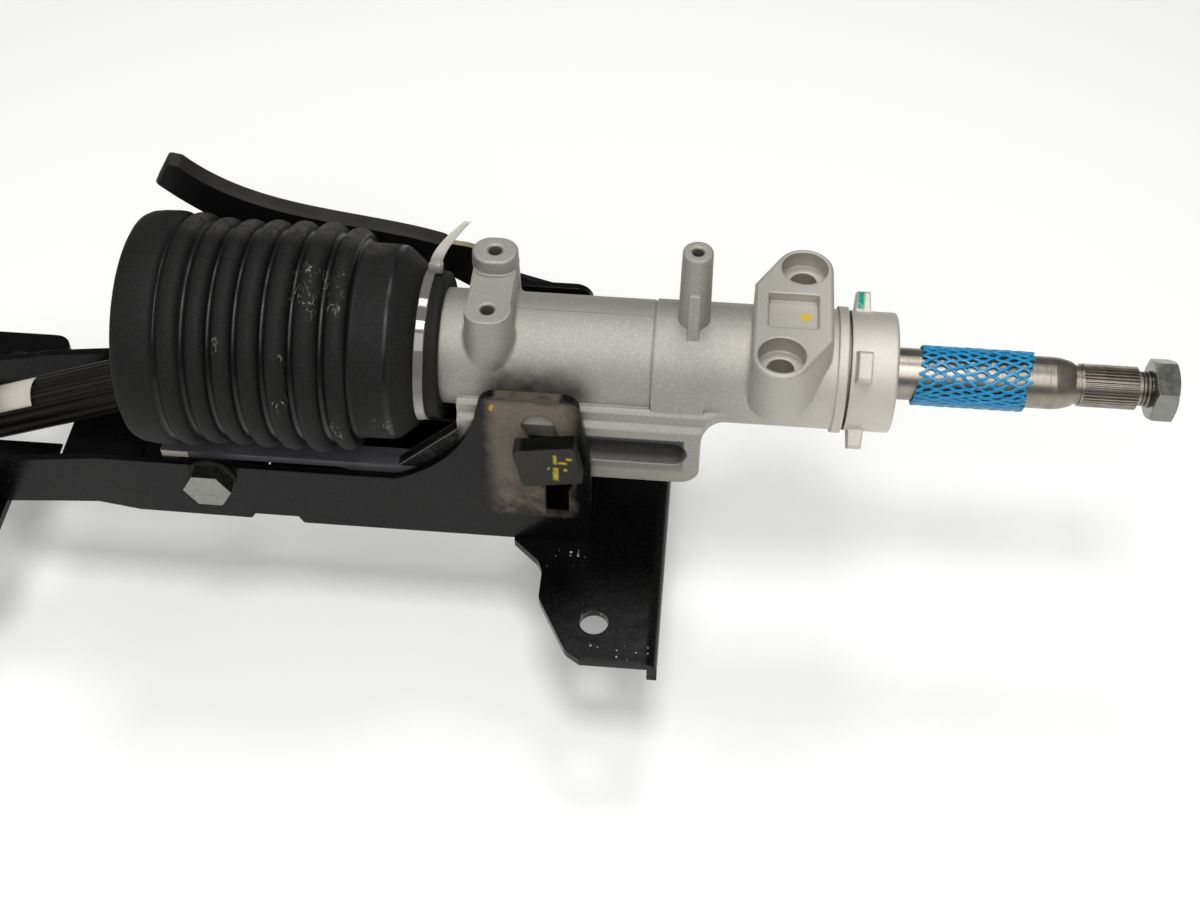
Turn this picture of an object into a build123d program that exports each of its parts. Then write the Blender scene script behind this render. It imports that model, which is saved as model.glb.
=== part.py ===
# Tilting and telescoping steering column with its mounting bracket, bellows
# and jointed intermediate shaft. Millimetres. The origin lies on the column
# axis where the wheel serration begins, +X points to the steering wheel and
# +Z points away from the mounting plate.
import os
from math import atan2, cos, degrees, hypot, radians, sin

from build123d import *

os.makedirs("parts", exist_ok=True)

# Clearances
run_gap = 0.05  # radial, for a pin or shaft that turns in a bore
slide_gap = 0.25  # beside a piece that slides
soft_gap = 0.3  # round rubber, nylon and mesh

# Steering shaft, by distance along X from the serration
shaft_r = 10.0
serration_length = 20.5
serration_r = 8.2
serration_teeth = 36
tooth_depth = 0.8
neck_r = 6.6
neck_length = 3.6
thread_r = 7.0
thread_length = 10.0
groove_r = 7.5
groove_width = 2.4
groove_to_serration = 0.9
taper_start = -11.0
taper_end_r = 8.3
taper_bulge = 0.35
thread_chamfer = 1.0
shaft_inset = 1.0
nut_across_flats = 22.0
nut_height = 9.0
nut_x = 25.6
nut_turn = 21.4
nut_face_inset = 0.4

# Protective mesh sleeve on the shaft
mesh_x0 = -61.8
mesh_x1 = -19.6
mesh_thickness = 1.2

# Switch ring clamped on the end of the housing
ring_x0 = -88.7
ring_x1 = -71.2
ring_r = 23.0
ring_wall = 4.2
lug_angles = (50, -40, -130, 140)
lug_r = 30.0
lug_length = 9.0
lug_width = 15.0
lug_draft = 4.0
lug_edge_r = 1.5
ring_edge_r = 1.2

# Die-cast housing
housing_x1 = -90.8
housing_step_x = -162.1
housing_x0 = -262.0
front_r = 23.0
rear_r = 22.5
step_groove_width = 0.8
step_groove_depth = 0.4
spigot_length = 15.0
bearing_r = 18.5
tunnel_r = 17.0
bearing_width = 9.0
ball_r = 2.2
ball_count = 9
race_gap = 1.6
rear_bearing_x = -250.0
front_bearing_x = -86.0
clip_thickness = 1.2
clip_depth = 2.4
clip_opening = 7.0
collar_x = -93.5
collar_width = 3.6
collar_r = 24.2
cast_fillet_r = 2.0

# Double boss beside the bellows
boss_x = -223.8
boss_y = 12.7
boss_length = 17.5
boss_width = 14.5
near_boss_top = 34.0
far_boss_top = 40.0
boss_web_inset = 1.5
boss_collar = 0.4
boss_draft = 1.5
boss_edge_r = 1.0
boss_hole_r = 2.6
boss_hole_depth = 18.0

# Post boss with its gusset
post_x = -147.9
post_r = 5.6
post_top = 57.0
post_hole_r = 2.15
post_hole_depth = 16.0
hole_chamfer = 0.6
gusset_width = 4.0
gusset_top = 41.0
gusset_foot = 13.0
gusset_proud = 1.4
post_draft = 0.8
post_edge_r = 0.8

# Saddle block for the lock
block_x0 = -125.8
block_x1 = -96.3
block_top = 30.3
block_floor = 6.0
block_half_y = 14.0
near_lock_x = -115.3
far_lock_x = -107.3
lock_y = 23.0
lock_boss_r = 11.0
lock_hole_r = 5.0
lock_hole_floor = 11.0
counterbore_r = 8.85
counterbore_floor = 23.0
window_x = -111.3
window_length = 19.0
window_width = 18.0
window_depth = 4.0
window_corner_r = 1.2
window_draft = 6.0
block_edge_r = 1.6

# Clamp bolt and tilt pivot
clamp_x = -200.3
clamp_z = -25.0
pivot_x = -338.3
pivot_z = -53.0
bolt_r = 5.0
sleeve_r = 6.0
tilt_up = 6.5
tilt_down = 7.5
ear_slot_width = 13.0

# Slotted clamp flange under the housing, set out from the clamp bolt
flange_half_y = 27.0
flange_top = -11.4
flange_bottom = -41.6
ledge_inset = 2.0
ledge_top = -4.0
ledge_chamfer = 1.5
flange_corner_r = 8.0
flange_fillet_r = 9.0
flange_slot_height = 12.5
slot_reach_out = 53.0
slot_reach_in = 13.3
slot_end_wall = 5.0
flange_tail = 22.7
flange_slot_x1 = clamp_x + slot_reach_out
flange_slot_x0 = clamp_x - slot_reach_in
flange_x1 = flange_slot_x1 + slot_end_wall
flange_x0 = flange_slot_x0 - flange_tail
flange_wall = 11.0
pocket_top = -21.5
pocket_corner_r = 4.0
pad_z = -43.0
rear_gusset_wall = 5.0
rear_gusset_drop = 14.0
rear_gusset_lap = 12.0

# Bracket channel, whose ears hold the flange between them
ear_gap = 1.0
channel_wall = 3.0
channel_half_y = flange_half_y + ear_gap + channel_wall
channel_x0 = -473.0
channel_bottom = -80.0
channel_bend_r = 5.0
wall_top_z = -46.5
wall_end_top = -62.0
wall_foot_top = -54.0
wall_step_top = -52.0
wall_step_length = 48.0
wall_rise_length = 40.0
web_x0 = -398.0
web_bay_r = 16.8
ear_reach_in = 25.4
ear_reach_out = 16.0
ear_x0 = clamp_x - ear_reach_in
ear_x1 = clamp_x + ear_reach_out
ear_top = 7.0
ear_corner_r = 7.0
ear_front_lean = 5.0
ear_front_z = -30.0
ear_sweep = ((-37.3, wall_top_z), (-12.3, -27.0), (-2.3, -3.0))
notch_width = 9.5
notch_bottom = -63.0

# Lower edge of the channel wall, as distances from the pivot and rises above its bottom
belly = ((34.3, 0), (32.3, 4), (14.3, 4), (12.3, 1), (-34.7, 1.5), (-51.7, 5), (-73.7, 3), (-101.7, 0))

# Mounting plate
plate_thickness = 4.0
plate_hole_x = -179.7
plate_hole_y = 70.0
plate_hole_r = 5.75
plate_half_y = 88.0
plate_edge = 26.2
plate_x1 = plate_hole_x + plate_edge
plate_lip = 7.0
plate_bend_r = 5.0
plate_corner_r = 6.0

# Inner edge of the plate, as distances from its holes along X and from the middle along Y
plate_waist = (
    (-36.3, 0),
    (-36.3, 32),
    (-25.3, 42),
    (-23.3, 47),
    (-23.3, 60),
    (-10.3, 84),
    (-4.3, plate_half_y),
)

# Lower feet at the far end of the channel
foot_length = 42.0
foot_half_y = 66.0
foot_hole_r = 5.75
foot_hole_y = 49.0
foot_corner_r = 8.0
foot_lap = 8.0

# Tilt pivot hardware
hex_across_flats = 17.0
hex_height = 6.4
pivot_nut_height = 8.4
washer_r = 10.0
washer_thickness = 1.6
bolt_show = 3.6

# Slide rails
rail_x0 = -358.5
rail_x1 = -226.0
rail_top = -43.0
rail_bottom = -63.5
rail_width = 9.0
rail_inner_y = flange_half_y - rail_width
rail_wall = 3.0
rail_chamfer = 4.0
rail_slot_x0 = -355.0
rail_slot_x1 = -280.0
rail_slot_half = 6.6
rail_toe_z = -52.0
rail_screw_x = (-236.0, -254.0)
rail_screw_r = 2.6
rail_screw_across_flats = 5.8
rail_screw_head = 3.0
block_length = 20.0

# Clamp stack outside the bracket ears
head_block = (24.0, 6.5, 21.0)
head_block_turn = 10.0
head_block_corner_r = 1.5
cam_lobes = 3
cam_lobe_r = 3.6
cam_lobe_height = 1.4
cam_lobe_inset = 0.6
cam_r = 14.0
cam_thickness = 4.6
lever_thickness = 2.6
clamp_nut_across_flats = 17.0
clamp_nut_height = 8.0

# Clamp lever and its grip
lever_reach = 49.3
grip_x1 = clamp_x - lever_reach
grip_y0 = 46.8
grip_thickness = 7.4
grip_edge = 1.2
grip_corner_r = 2.2
tang_length = 30.0
joggle_x0 = clamp_x - 37.7
joggle_x1 = clamp_x - 19.7

# Lever outline round the clamp bolt, and the two curved edges of the grip from its end
lever_front = ((13.0, -8.0), (13.0, 8.0), (4.0, 17.0))
lever_rear = ((-10.0, -12.0), (6.0, -14.0))
grip_upper = ((0, 9), (-55, 20.2), (-87, 31), (-103, 43))
grip_tip = (-108, 44)
grip_lower = ((-115, 32), (-100, 19), (-66, 1), (0, -13))
tang_top = 11.5
tang_bottom = -6.0
lever_corner_r = 4.0
lever_shoulder = 2.6

# Bellows
boot_x0 = -361.3
boot_mouth_turn_in = 4.1
boot_rim = 8.5
boot_mouth_x = -333.0
boot_ridge_x = -275.0
boot_cone_x = -259.0
boot_neck_x = -252.2
boot_tie_x = -249.3
boot_x1 = -242.4
boot_big_r = 45.9
boot_mouth_r = boot_big_r - boot_mouth_turn_in
boot_ridge_r = 44.0
boot_valley_r = 40.6
boot_smooth_r = 37.9
boot_cone_r = 32.0
boot_neck_r = 28.4
boot_lip_r = 25.4
boot_wall = 2.6
boot_ridges = 7
boot_step = 3.0
boot_lip_length = 2.0

# Cable tie
tie_width = 4.8
tie_thickness = 1.3
tie_head = (6.2, 6.0, 5.5)
tie_head_shift = 1.0
tie_head_angle = 28.0
tie_head_corner_r = 1.2
tie_head_foot = 0.4
tie_tail_sink = 0.5
tie_tail_rise = 17.0
tie_tail_lean = 11.5
tie_tail_tip = 2.6

# Universal joints
joint_x = -288.3
shaft_drop = 21.3
ear_inner = 13.0
ear_outer = 20.0
ear_r = 9.5
fork_base = 18.5
fork_base_length = 6.0
hub_r = 14.0
hub_length = 12.0
cup_r = 7.0
trunnion_r = 5.0
cross_half = 6.0
cross_corner_r = 4.0
cross_width = 18.0
fork_bulge = 0.8
cup_sink = 0.6
cup_floor = 2.0
trunnion_gap = 0.2

# Intermediate shaft
tube_r = 11.0
tube_bore_r = 9.0
flute_depth = 1.1
flute_r = 1.7
flutes = 16
tube_end = 176.0
inner_start = 118.0
lower_joint_at = 240.0
lower_joint_drop = 46.0
clamp_yoke_length = 34.0
clamp_bore_r = 8.5
clamp_slit = 3.0
clamp_floor = 4.0
pinch_r = 4.0
pinch_across_flats = 13.0
pinch_head = 5.0
pinch_web = 1.5
pinch_land = 3.0

# Directions that follow from the drops
axis_down = Vector(-cos(radians(shaft_drop)), 0, -sin(radians(shaft_drop)))
axis_low = Vector(-cos(radians(lower_joint_drop)), 0, -sin(radians(lower_joint_drop)))
joint_point = Vector(joint_x, 0, 0)
lower_point = joint_point + axis_down * lower_joint_at


def square_to(origin, direction):
    """Plane across a shaft direction, with its local x along Y."""
    return Plane(origin=origin, x_dir=(0, 1, 0), z_dir=direction)


def save(piece, name):
    """Label a finished piece and write it."""
    piece.part.label = name
    export_step(piece.part, f"parts/{name}.step")


# Steering shaft, turned in one piece with the wheel serration and the thread
thread_x0 = serration_length + neck_length
shaft_end = thread_x0 + thread_length
shaft_x0 = joint_x + fork_base + shaft_inset
groove_x1 = -groove_to_serration
groove_x0 = groove_x1 - groove_width
with BuildPart() as steering_shaft:
    with BuildSketch(Plane.XZ):
        with BuildLine():
            Polyline(
                (shaft_x0, 0),
                (shaft_x0, shaft_r),
                (taper_start, shaft_r),
            )
            ThreePointArc(
                (taper_start, shaft_r),
                ((taper_start + groove_x0) / 2, (shaft_r + taper_end_r) / 2 + taper_bulge),
                (groove_x0, taper_end_r),
            )
            Polyline(
                (groove_x0, taper_end_r),
                (groove_x0, groove_r),
                (groove_x1, groove_r),
                (groove_x1, serration_r),
                (0, serration_r),
                (0, neck_r),
                (thread_x0, neck_r),
                (thread_x0 + thread_chamfer, thread_r),
                (shaft_end - thread_chamfer, thread_r),
                (shaft_end, thread_r - thread_chamfer),
                (shaft_end, 0),
                (shaft_x0, 0),
            )
        make_face()
    revolve(axis=Axis.X)
    tooth_step = 360 / serration_teeth
    with BuildSketch(Plane.YZ):
        with BuildLine():
            rim = []
            for tooth in range(serration_teeth):
                start = radians(tooth * tooth_step)
                for share, radius in ((0.0, 0), (0.3, 0), (0.5, tooth_depth), (0.8, tooth_depth)):
                    angle = start + radians(share * tooth_step)
                    reach = serration_r - radius
                    rim.append((reach * cos(angle), reach * sin(angle)))
            Polyline(*rim, close=True)
        make_face()
    extrude(amount=serration_length)
save(steering_shaft, "steering_shaft")

# Wheel nut with both faces chamfered
with BuildPart() as wheel_nut:
    with BuildSketch(Plane.YZ.offset(nut_x)):
        RegularPolygon(nut_across_flats / 2, 6, major_radius=False, rotation=nut_turn)
    extrude(amount=nut_height)
    corner_r = nut_across_flats / 2 / cos(radians(30))
    face_r = nut_across_flats / 2 - nut_face_inset
    nut_slope = (corner_r - face_r) / 2
    with BuildSketch(Plane.XZ):
        with BuildLine():
            Polyline(
                (nut_x, 0),
                (nut_x, face_r),
                (nut_x + nut_slope, corner_r + run_gap),
                (nut_x + nut_height - nut_slope, corner_r + run_gap),
                (nut_x + nut_height, face_r),
                (nut_x + nut_height, 0),
                close=True,
            )
        make_face()
    revolve(axis=Axis.X, mode=Mode.INTERSECT)
    with BuildSketch(Plane.YZ.offset(nut_x)):
        Circle(thread_r)
    extrude(amount=nut_height, mode=Mode.SUBTRACT)
save(wheel_nut, "wheel_nut")

# Protective mesh sleeve as a plain closed tube
mesh_r0 = shaft_r + soft_gap
with BuildPart() as mesh_sleeve:
    with BuildSketch(Plane.YZ.offset(mesh_x0)):
        Circle(mesh_r0 + mesh_thickness)
        Circle(mesh_r0, mode=Mode.SUBTRACT)
    extrude(amount=mesh_x1 - mesh_x0)
save(mesh_sleeve, "mesh_sleeve")

# Half section of the clamp flange, and the hollow fillet at its front end
ledge_half_y = flange_half_y - ledge_inset
half_flange = [
    (0, ledge_top),
    (ledge_half_y - ledge_chamfer, ledge_top),
    (ledge_half_y, ledge_top - ledge_chamfer),
    (ledge_half_y, flange_top + ledge_inset / 2),
    (flange_half_y, flange_top - ledge_inset / 2),
    (flange_half_y, flange_bottom),
    (0, flange_bottom),
]
with BuildPart() as flange_fillet:
    with BuildSketch(Plane.YZ.offset(flange_x1)):
        with BuildLine():
            Polyline(*half_flange, close=True)
        make_face()
        mirror(about=Plane.YZ)
    extrude(amount=flange_fillet_r)
    with BuildSketch(Plane.XZ):
        with BuildLine():
            Line((flange_x1, 0), (flange_x1, front_r + flange_fillet_r))
            RadiusArc(
                (flange_x1, front_r + flange_fillet_r),
                (flange_x1 + flange_fillet_r, front_r),
                -flange_fillet_r,
            )
            Polyline((flange_x1 + flange_fillet_r, front_r), (flange_x1 + flange_fillet_r, 0), (flange_x1, 0))
        make_face()
    revolve(axis=Axis.X, mode=Mode.INTERSECT)

# Housing: tube, bosses, saddle block and the slotted clamp flange in one casting
spigot_x1 = housing_x1 + spigot_length
spigot_r = ring_r - ring_wall
with BuildPart() as housing:
    with BuildSketch(Plane.XZ):
        with BuildLine():
            Polyline(
                (housing_x0, 0),
                (housing_x0, rear_r),
                (housing_step_x - step_groove_width, rear_r),
                (housing_step_x - step_groove_width, rear_r - step_groove_depth),
                (housing_step_x, rear_r - step_groove_depth),
                (housing_step_x, front_r),
                (collar_x, front_r),
                (collar_x, collar_r),
                (collar_x + collar_width, collar_r),
                (collar_x + collar_width, spigot_r),
                (spigot_x1, spigot_r),
                (spigot_x1, 0),
                close=True,
            )
        make_face()
    revolve(axis=Axis.X)

    # Double boss: the near boss and the web share one top, the far boss is higher
    with BuildSketch(Plane.XY.offset(near_boss_top)):
        with Locations((boss_x, -boss_y)):
            SlotOverall(boss_length, boss_width)
        with Locations((boss_x, 0)):
            Rectangle(boss_length - boss_web_inset, 2 * boss_y)
        with Locations((boss_x, boss_y)):
            SlotOverall(boss_length, boss_width)
    extrude(amount=-near_boss_top, taper=-boss_draft)
    boss_feet = edges(Select.LAST).filter_by(lambda edge: 4 < edge.center().Z < rear_r + 1)
    fillet(boss_feet, radius=cast_fillet_r)
    with BuildSketch(Plane.XY.offset(near_boss_top)):
        with Locations((boss_x, boss_y)):
            SlotOverall(boss_length + boss_collar, boss_width + boss_collar)
    extrude(amount=far_boss_top - near_boss_top, taper=2 * boss_draft)
    fillet(edges(Select.LAST).group_by(Axis.Z)[-1], radius=boss_edge_r)

    # Post boss and its gusset
    with BuildSketch(Plane.XY.offset(post_top)):
        with Locations((post_x, 0)):
            Circle(post_r)
    extrude(amount=-post_top, taper=-post_draft)
    fillet(edges(Select.LAST).group_by(Axis.Z)[-1], radius=post_edge_r)
    with BuildSketch(Plane.YZ.offset(post_x)):
        with BuildLine():
            Polyline(
                (0, gusset_top),
                (-post_r - gusset_proud, gusset_top),
                (-gusset_foot, 0),
                (0, 0),
                close=True,
            )
        make_face()
    extrude(amount=gusset_width / 2, both=True)

    # Saddle block, drawn as the hull of its two lock bosses and the middle pad
    with BuildSketch(Plane.XY.offset(block_top)):
        with Locations((near_lock_x, -lock_y), (far_lock_x, lock_y)):
            Circle(lock_boss_r)
        with Locations(((block_x0 + block_x1) / 2, 0)):
            Rectangle(block_x1 - block_x0, 2 * block_half_y)
        make_hull()
    extrude(amount=block_floor - block_top)
    fillet(edges(Select.LAST).group_by(Axis.Z)[-1], radius=block_edge_r)

    # Clamp flange with the ledge above it
    with BuildSketch(Plane.YZ.offset(flange_x0)):
        with BuildLine():
            Polyline(*half_flange, close=True)
        make_face()
        mirror(about=Plane.YZ)
    extrude(amount=flange_x1 - flange_x0)
    corners = edges().filter_by(Axis.Y).filter_by_position(Axis.X, flange_x1 - 0.01, flange_x1 + 0.01)
    fillet(corners.sort_by(Axis.Z)[0], radius=flange_corner_r)

    # In front of the step the casting runs straight from the tube down to the flange
    with BuildSketch(Plane.YZ.offset(housing_step_x)) as cheek:
        Circle(front_r)
        with Locations((0, flange_top)):
            Rectangle(2 * ledge_half_y, ledge_inset)
        make_hull()
    extrude(amount=flange_x1 - housing_step_x)

    # Hollow fillet where the flange's front end meets the tube
    add(flange_fillet.part)

    # Side walls run on to the rear as gussets, down to the rail seats
    with BuildSketch(Plane.XZ):
        with BuildLine():
            Polyline(
                (flange_x0 + rear_gusset_lap, ledge_top - rear_gusset_drop),
                (flange_x0, ledge_top - rear_gusset_drop),
                (housing_x0, pad_z),
                (rail_x1, pad_z),
                (rail_x1, flange_bottom + rear_gusset_wall),
                close=True,
            )
        make_face()
    extrude(amount=flange_half_y, both=True)
    with BuildSketch(Plane.XZ):
        with BuildLine():
            Polyline(
                (housing_x0 - 1, pad_z - 1),
                (housing_x0 - 1, ledge_top),
                (flange_x0 + rear_gusset_wall, ledge_top - rear_gusset_drop),
                (flange_x0 + rear_gusset_wall, pad_z - 1),
                close=True,
            )
        make_face()
    extrude(amount=flange_half_y - rear_gusset_wall, both=True, mode=Mode.SUBTRACT)

    # Pocket between the flange walls and the telescoping slot through them
    slot_span = flange_slot_x1 - flange_slot_x0
    slot_mid = (flange_slot_x1 + flange_slot_x0) / 2
    with BuildSketch(Plane.XY.offset(pad_z - 1)):
        with Locations((slot_mid, 0)):
            RectangleRounded(slot_span + 2, 2 * (flange_half_y - flange_wall), pocket_corner_r)
    extrude(amount=pocket_top - pad_z + 1, mode=Mode.SUBTRACT)
    with BuildSketch(Plane.XZ):
        with Locations((slot_mid, clamp_z)):
            SlotOverall(slot_span, flange_slot_height)
    extrude(amount=flange_half_y + 1, both=True, mode=Mode.SUBTRACT)

    # Bore for the shaft with a seat for a bearing at each end
    rear_seat_x1 = rear_bearing_x + bearing_width
    with BuildSketch(Plane.XZ):
        with BuildLine():
            Polyline(
                (housing_x0 - 1, 0),
                (housing_x0 - 1, bearing_r),
                (rear_seat_x1, bearing_r),
                (rear_seat_x1, tunnel_r),
                (front_bearing_x, tunnel_r),
                (front_bearing_x, bearing_r),
                (spigot_x1 + 1, bearing_r),
                (spigot_x1 + 1, 0),
                close=True,
            )
        make_face()
    revolve(axis=Axis.X, mode=Mode.SUBTRACT)

    # Threaded holes, lock bores and the window for the lock bolt
    with Locations((boss_x, -boss_y, near_boss_top), (boss_x, boss_y, far_boss_top)):
        CounterSinkHole(boss_hole_r, boss_hole_r + hole_chamfer, depth=boss_hole_depth, counter_sink_angle=90)
    with Locations((post_x, 0, post_top)):
        CounterSinkHole(post_hole_r, post_hole_r + hole_chamfer, depth=post_hole_depth, counter_sink_angle=90)
    with Locations((near_lock_x, -lock_y, block_top), (far_lock_x, lock_y, block_top)):
        CounterBoreHole(
            lock_hole_r,
            counterbore_r,
            counter_bore_depth=block_top - counterbore_floor,
            depth=block_top - lock_hole_floor,
        )
    with BuildSketch(Plane.XY.offset(block_top)):
        with Locations((window_x, 0)):
            RectangleRounded(window_length, window_width, window_corner_r)
    extrude(amount=-window_depth, taper=window_draft, mode=Mode.SUBTRACT)
save(housing, "housing")

# Switch ring with four lugs, seated on the spigot of the housing
with BuildPart() as switch_ring:
    with BuildSketch(Plane.YZ.offset(ring_x0)):
        Circle(ring_r)
    extrude(amount=ring_x1 - ring_x0)
    fillet(edges().group_by(Axis.X)[-1], radius=ring_edge_r)
    for lug_angle in lug_angles:
        lug_up = Vector(0, sin(radians(lug_angle)), cos(radians(lug_angle)))
        with BuildSketch(Plane(origin=(ring_x0, 0, 0), x_dir=(1, 0, 0), z_dir=lug_up)):
            with Locations((lug_length / 2, 0)):
                Rectangle(lug_length, lug_width)
        extrude(amount=lug_r, taper=lug_draft)
        outer_edges = edges(Select.LAST).filter_by(Axis.X).sort_by_distance(lug_up * 2 * lug_r)[:2]
        fillet(outer_edges, radius=lug_edge_r)
    with BuildSketch(Plane.YZ.offset(ring_x0)):
        Circle(spigot_r)
    extrude(amount=ring_x1 - ring_x0, mode=Mode.SUBTRACT)
save(switch_ring, "switch_ring")

# Ball bearings: outer rings sit in the housing, inner rings turn with the shaft
ball_pitch_r = (bearing_r + shaft_r) / 2
bearing_places = (rear_bearing_x, front_bearing_x)
with BuildPart() as bearing_outer_rings:
    for place in bearing_places:
        with BuildSketch(Plane.YZ.offset(place)):
            Circle(bearing_r)
            Circle(ball_pitch_r + race_gap, mode=Mode.SUBTRACT)
        extrude(amount=bearing_width)
    for place in bearing_places:
        with BuildSketch(Plane.XZ):
            with Locations((place + bearing_width / 2, ball_pitch_r)):
                Circle(ball_r)
        revolve(axis=Axis.X, mode=Mode.SUBTRACT)
save(bearing_outer_rings, "bearing_outer_rings")

with BuildPart() as bearing_inner_rings:
    for place in bearing_places:
        with BuildSketch(Plane.YZ.offset(place)):
            Circle(ball_pitch_r - race_gap)
            Circle(shaft_r, mode=Mode.SUBTRACT)
        extrude(amount=bearing_width)
    for place in bearing_places:
        with BuildSketch(Plane.XZ):
            with Locations((place + bearing_width / 2, ball_pitch_r)):
                Circle(ball_r)
        revolve(axis=Axis.X, mode=Mode.SUBTRACT)
save(bearing_inner_rings, "bearing_inner_rings")

with BuildPart() as bearing_balls:
    for place in bearing_places:
        with Locations(Plane.YZ.offset(place + bearing_width / 2)):
            with PolarLocations(ball_pitch_r, ball_count):
                Sphere(ball_r - run_gap)
save(bearing_balls, "bearing_balls")

# Circlip that keeps the front bearing in the spigot
clip_x = front_bearing_x + bearing_width
with BuildPart() as front_circlip:
    with BuildSketch(Plane.YZ.offset(clip_x)):
        Circle(bearing_r)
        Circle(bearing_r - clip_depth, mode=Mode.SUBTRACT)
        with Locations((0, -bearing_r)):
            Rectangle(clip_opening, 3 * clip_depth, mode=Mode.SUBTRACT)
    extrude(amount=clip_thickness)
save(front_circlip, "front_circlip")

# Bellows: bell mouth, a run of rounded ridges, smooth shoulder and tied neck
ridge_pitch = (boot_ridge_x - boot_mouth_x) / boot_ridges
boot_seat_r = rear_r + soft_gap
with BuildPart() as bellows:
    with BuildSketch(Plane.XZ):
        with BuildLine():
            ThreePointArc(
                (boot_x0, boot_mouth_r),
                (boot_x0 + boot_rim / 4, boot_big_r - (boot_big_r - boot_mouth_r) * 0.4),
                (boot_x0 + boot_rim, boot_big_r),
            )
            Polyline(
                (boot_x0 + boot_rim, boot_big_r),
                (boot_mouth_x - boot_step, boot_big_r),
                (boot_mouth_x, boot_valley_r),
            )
            for ridge in range(boot_ridges):
                start_x = boot_mouth_x + ridge * ridge_pitch
                ThreePointArc(
                    (start_x, boot_valley_r),
                    (start_x + ridge_pitch / 2, boot_ridge_r),
                    (start_x + ridge_pitch, boot_valley_r),
                )
            Polyline(
                (boot_ridge_x, boot_valley_r),
                (boot_ridge_x + boot_step, boot_smooth_r),
                (boot_cone_x, boot_smooth_r),
                (boot_neck_x, boot_cone_r),
                (boot_neck_x, boot_neck_r),
                (boot_x1 - boot_lip_length, boot_neck_r),
                (boot_x1, boot_lip_r),
                (boot_x1, boot_seat_r),
                (boot_neck_x, boot_seat_r),
                (boot_cone_x - boot_wall, boot_smooth_r - boot_wall),
                (boot_ridge_x, boot_smooth_r - boot_wall),
                (boot_mouth_x, boot_valley_r - boot_wall),
                (boot_mouth_x - boot_step, boot_big_r - boot_wall),
                (boot_x0 + boot_step, boot_big_r - boot_wall),
                (boot_x0, boot_mouth_r),
            )
        make_face()
    revolve(axis=Axis.X)
save(bellows, "bellows")

# Cable tie round the neck of the bellows, with its head and tail
tie_r = boot_neck_r + run_gap
tie_up = Vector(0, sin(radians(tie_head_angle)), cos(radians(tie_head_angle)))
with BuildPart() as cable_tie:
    with BuildSketch(Plane.YZ.offset(boot_tie_x - tie_width / 2)):
        Circle(tie_r + tie_thickness)
        Circle(tie_r, mode=Mode.SUBTRACT)
    extrude(amount=tie_width)
    head_foot = tie_up * (tie_r + tie_head_foot) + Vector(boot_tie_x + tie_head_shift, 0, 0)
    with BuildSketch(Plane(origin=head_foot, x_dir=(1, 0, 0), z_dir=tie_up)):
        RectangleRounded(tie_head[0], tie_head[1], tie_head_corner_r)
    extrude(amount=tie_head[2])
    tail_foot = head_foot + tie_up * (tie_head[2] - tie_tail_sink)
    with BuildSketch(Plane(origin=tail_foot, x_dir=(1, 0, 0), z_dir=Vector(1, 0, 0).cross(tie_up))):
        with BuildLine():
            Polyline(
                (-tie_width / 2, 0),
                (tie_width / 2, 0),
                (tie_tail_lean + tie_tail_tip / 2, tie_tail_rise),
                (tie_tail_lean - tie_tail_tip / 2, tie_tail_rise),
                close=True,
            )
        make_face()
    extrude(amount=tie_thickness / 2, both=True)
save(cable_tie, "cable_tie")

# Slide rails: steel angles under the housing, slotted for the tilt pivot
rail_slot_mid = (rail_slot_x0 + rail_slot_x1) / 2
with BuildPart() as slide_rails:
    with BuildSketch(Plane.XZ.offset(flange_half_y)):
        with BuildLine():
            Polyline(
                (rail_x0, rail_top),
                (rail_x0, rail_bottom + rail_chamfer),
                (rail_x0 + rail_chamfer, rail_bottom),
                (rail_slot_x1 + rail_chamfer, rail_bottom),
                (rail_x1, rail_toe_z),
                (rail_x1, rail_top),
                close=True,
            )
        make_face()
        with Locations((rail_slot_mid, pivot_z)):
            SlotOverall(rail_slot_x1 - rail_slot_x0, 2 * rail_slot_half, mode=Mode.SUBTRACT)
    extrude(amount=-rail_wall)
    with BuildSketch(Plane.XY.offset(rail_top)):
        with Locations(((rail_x0 + rail_x1) / 2, -(flange_half_y + rail_inner_y) / 2)):
            Rectangle(rail_x1 - rail_x0, flange_half_y - rail_inner_y)
    extrude(amount=-rail_wall)
    with Locations(*[(x, -(rail_inner_y + flange_half_y - rail_wall) / 2, rail_top) for x in rail_screw_x]):
        Hole(rail_screw_r, depth=rail_wall + 1)
    mirror(about=Plane.XZ)
save(slide_rails, "slide_rails")

# Screws that hold the rails up against the housing
with BuildPart() as rail_screws:
    for side in (-1, 1):
        for screw_x in rail_screw_x:
            screw_y = side * (rail_inner_y + flange_half_y - rail_wall) / 2
            with BuildSketch(Plane.XY.offset(rail_top - rail_wall)):
                with Locations((screw_x, screw_y)):
                    Circle(rail_screw_r)
            extrude(amount=rail_wall)
            with BuildSketch(Plane.XY.offset(rail_top - rail_wall)):
                with Locations((screw_x, screw_y)):
                    RegularPolygon(rail_screw_across_flats / 2, 6, major_radius=False)
            extrude(amount=-rail_screw_head)
save(rail_screws, "rail_screws")

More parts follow.
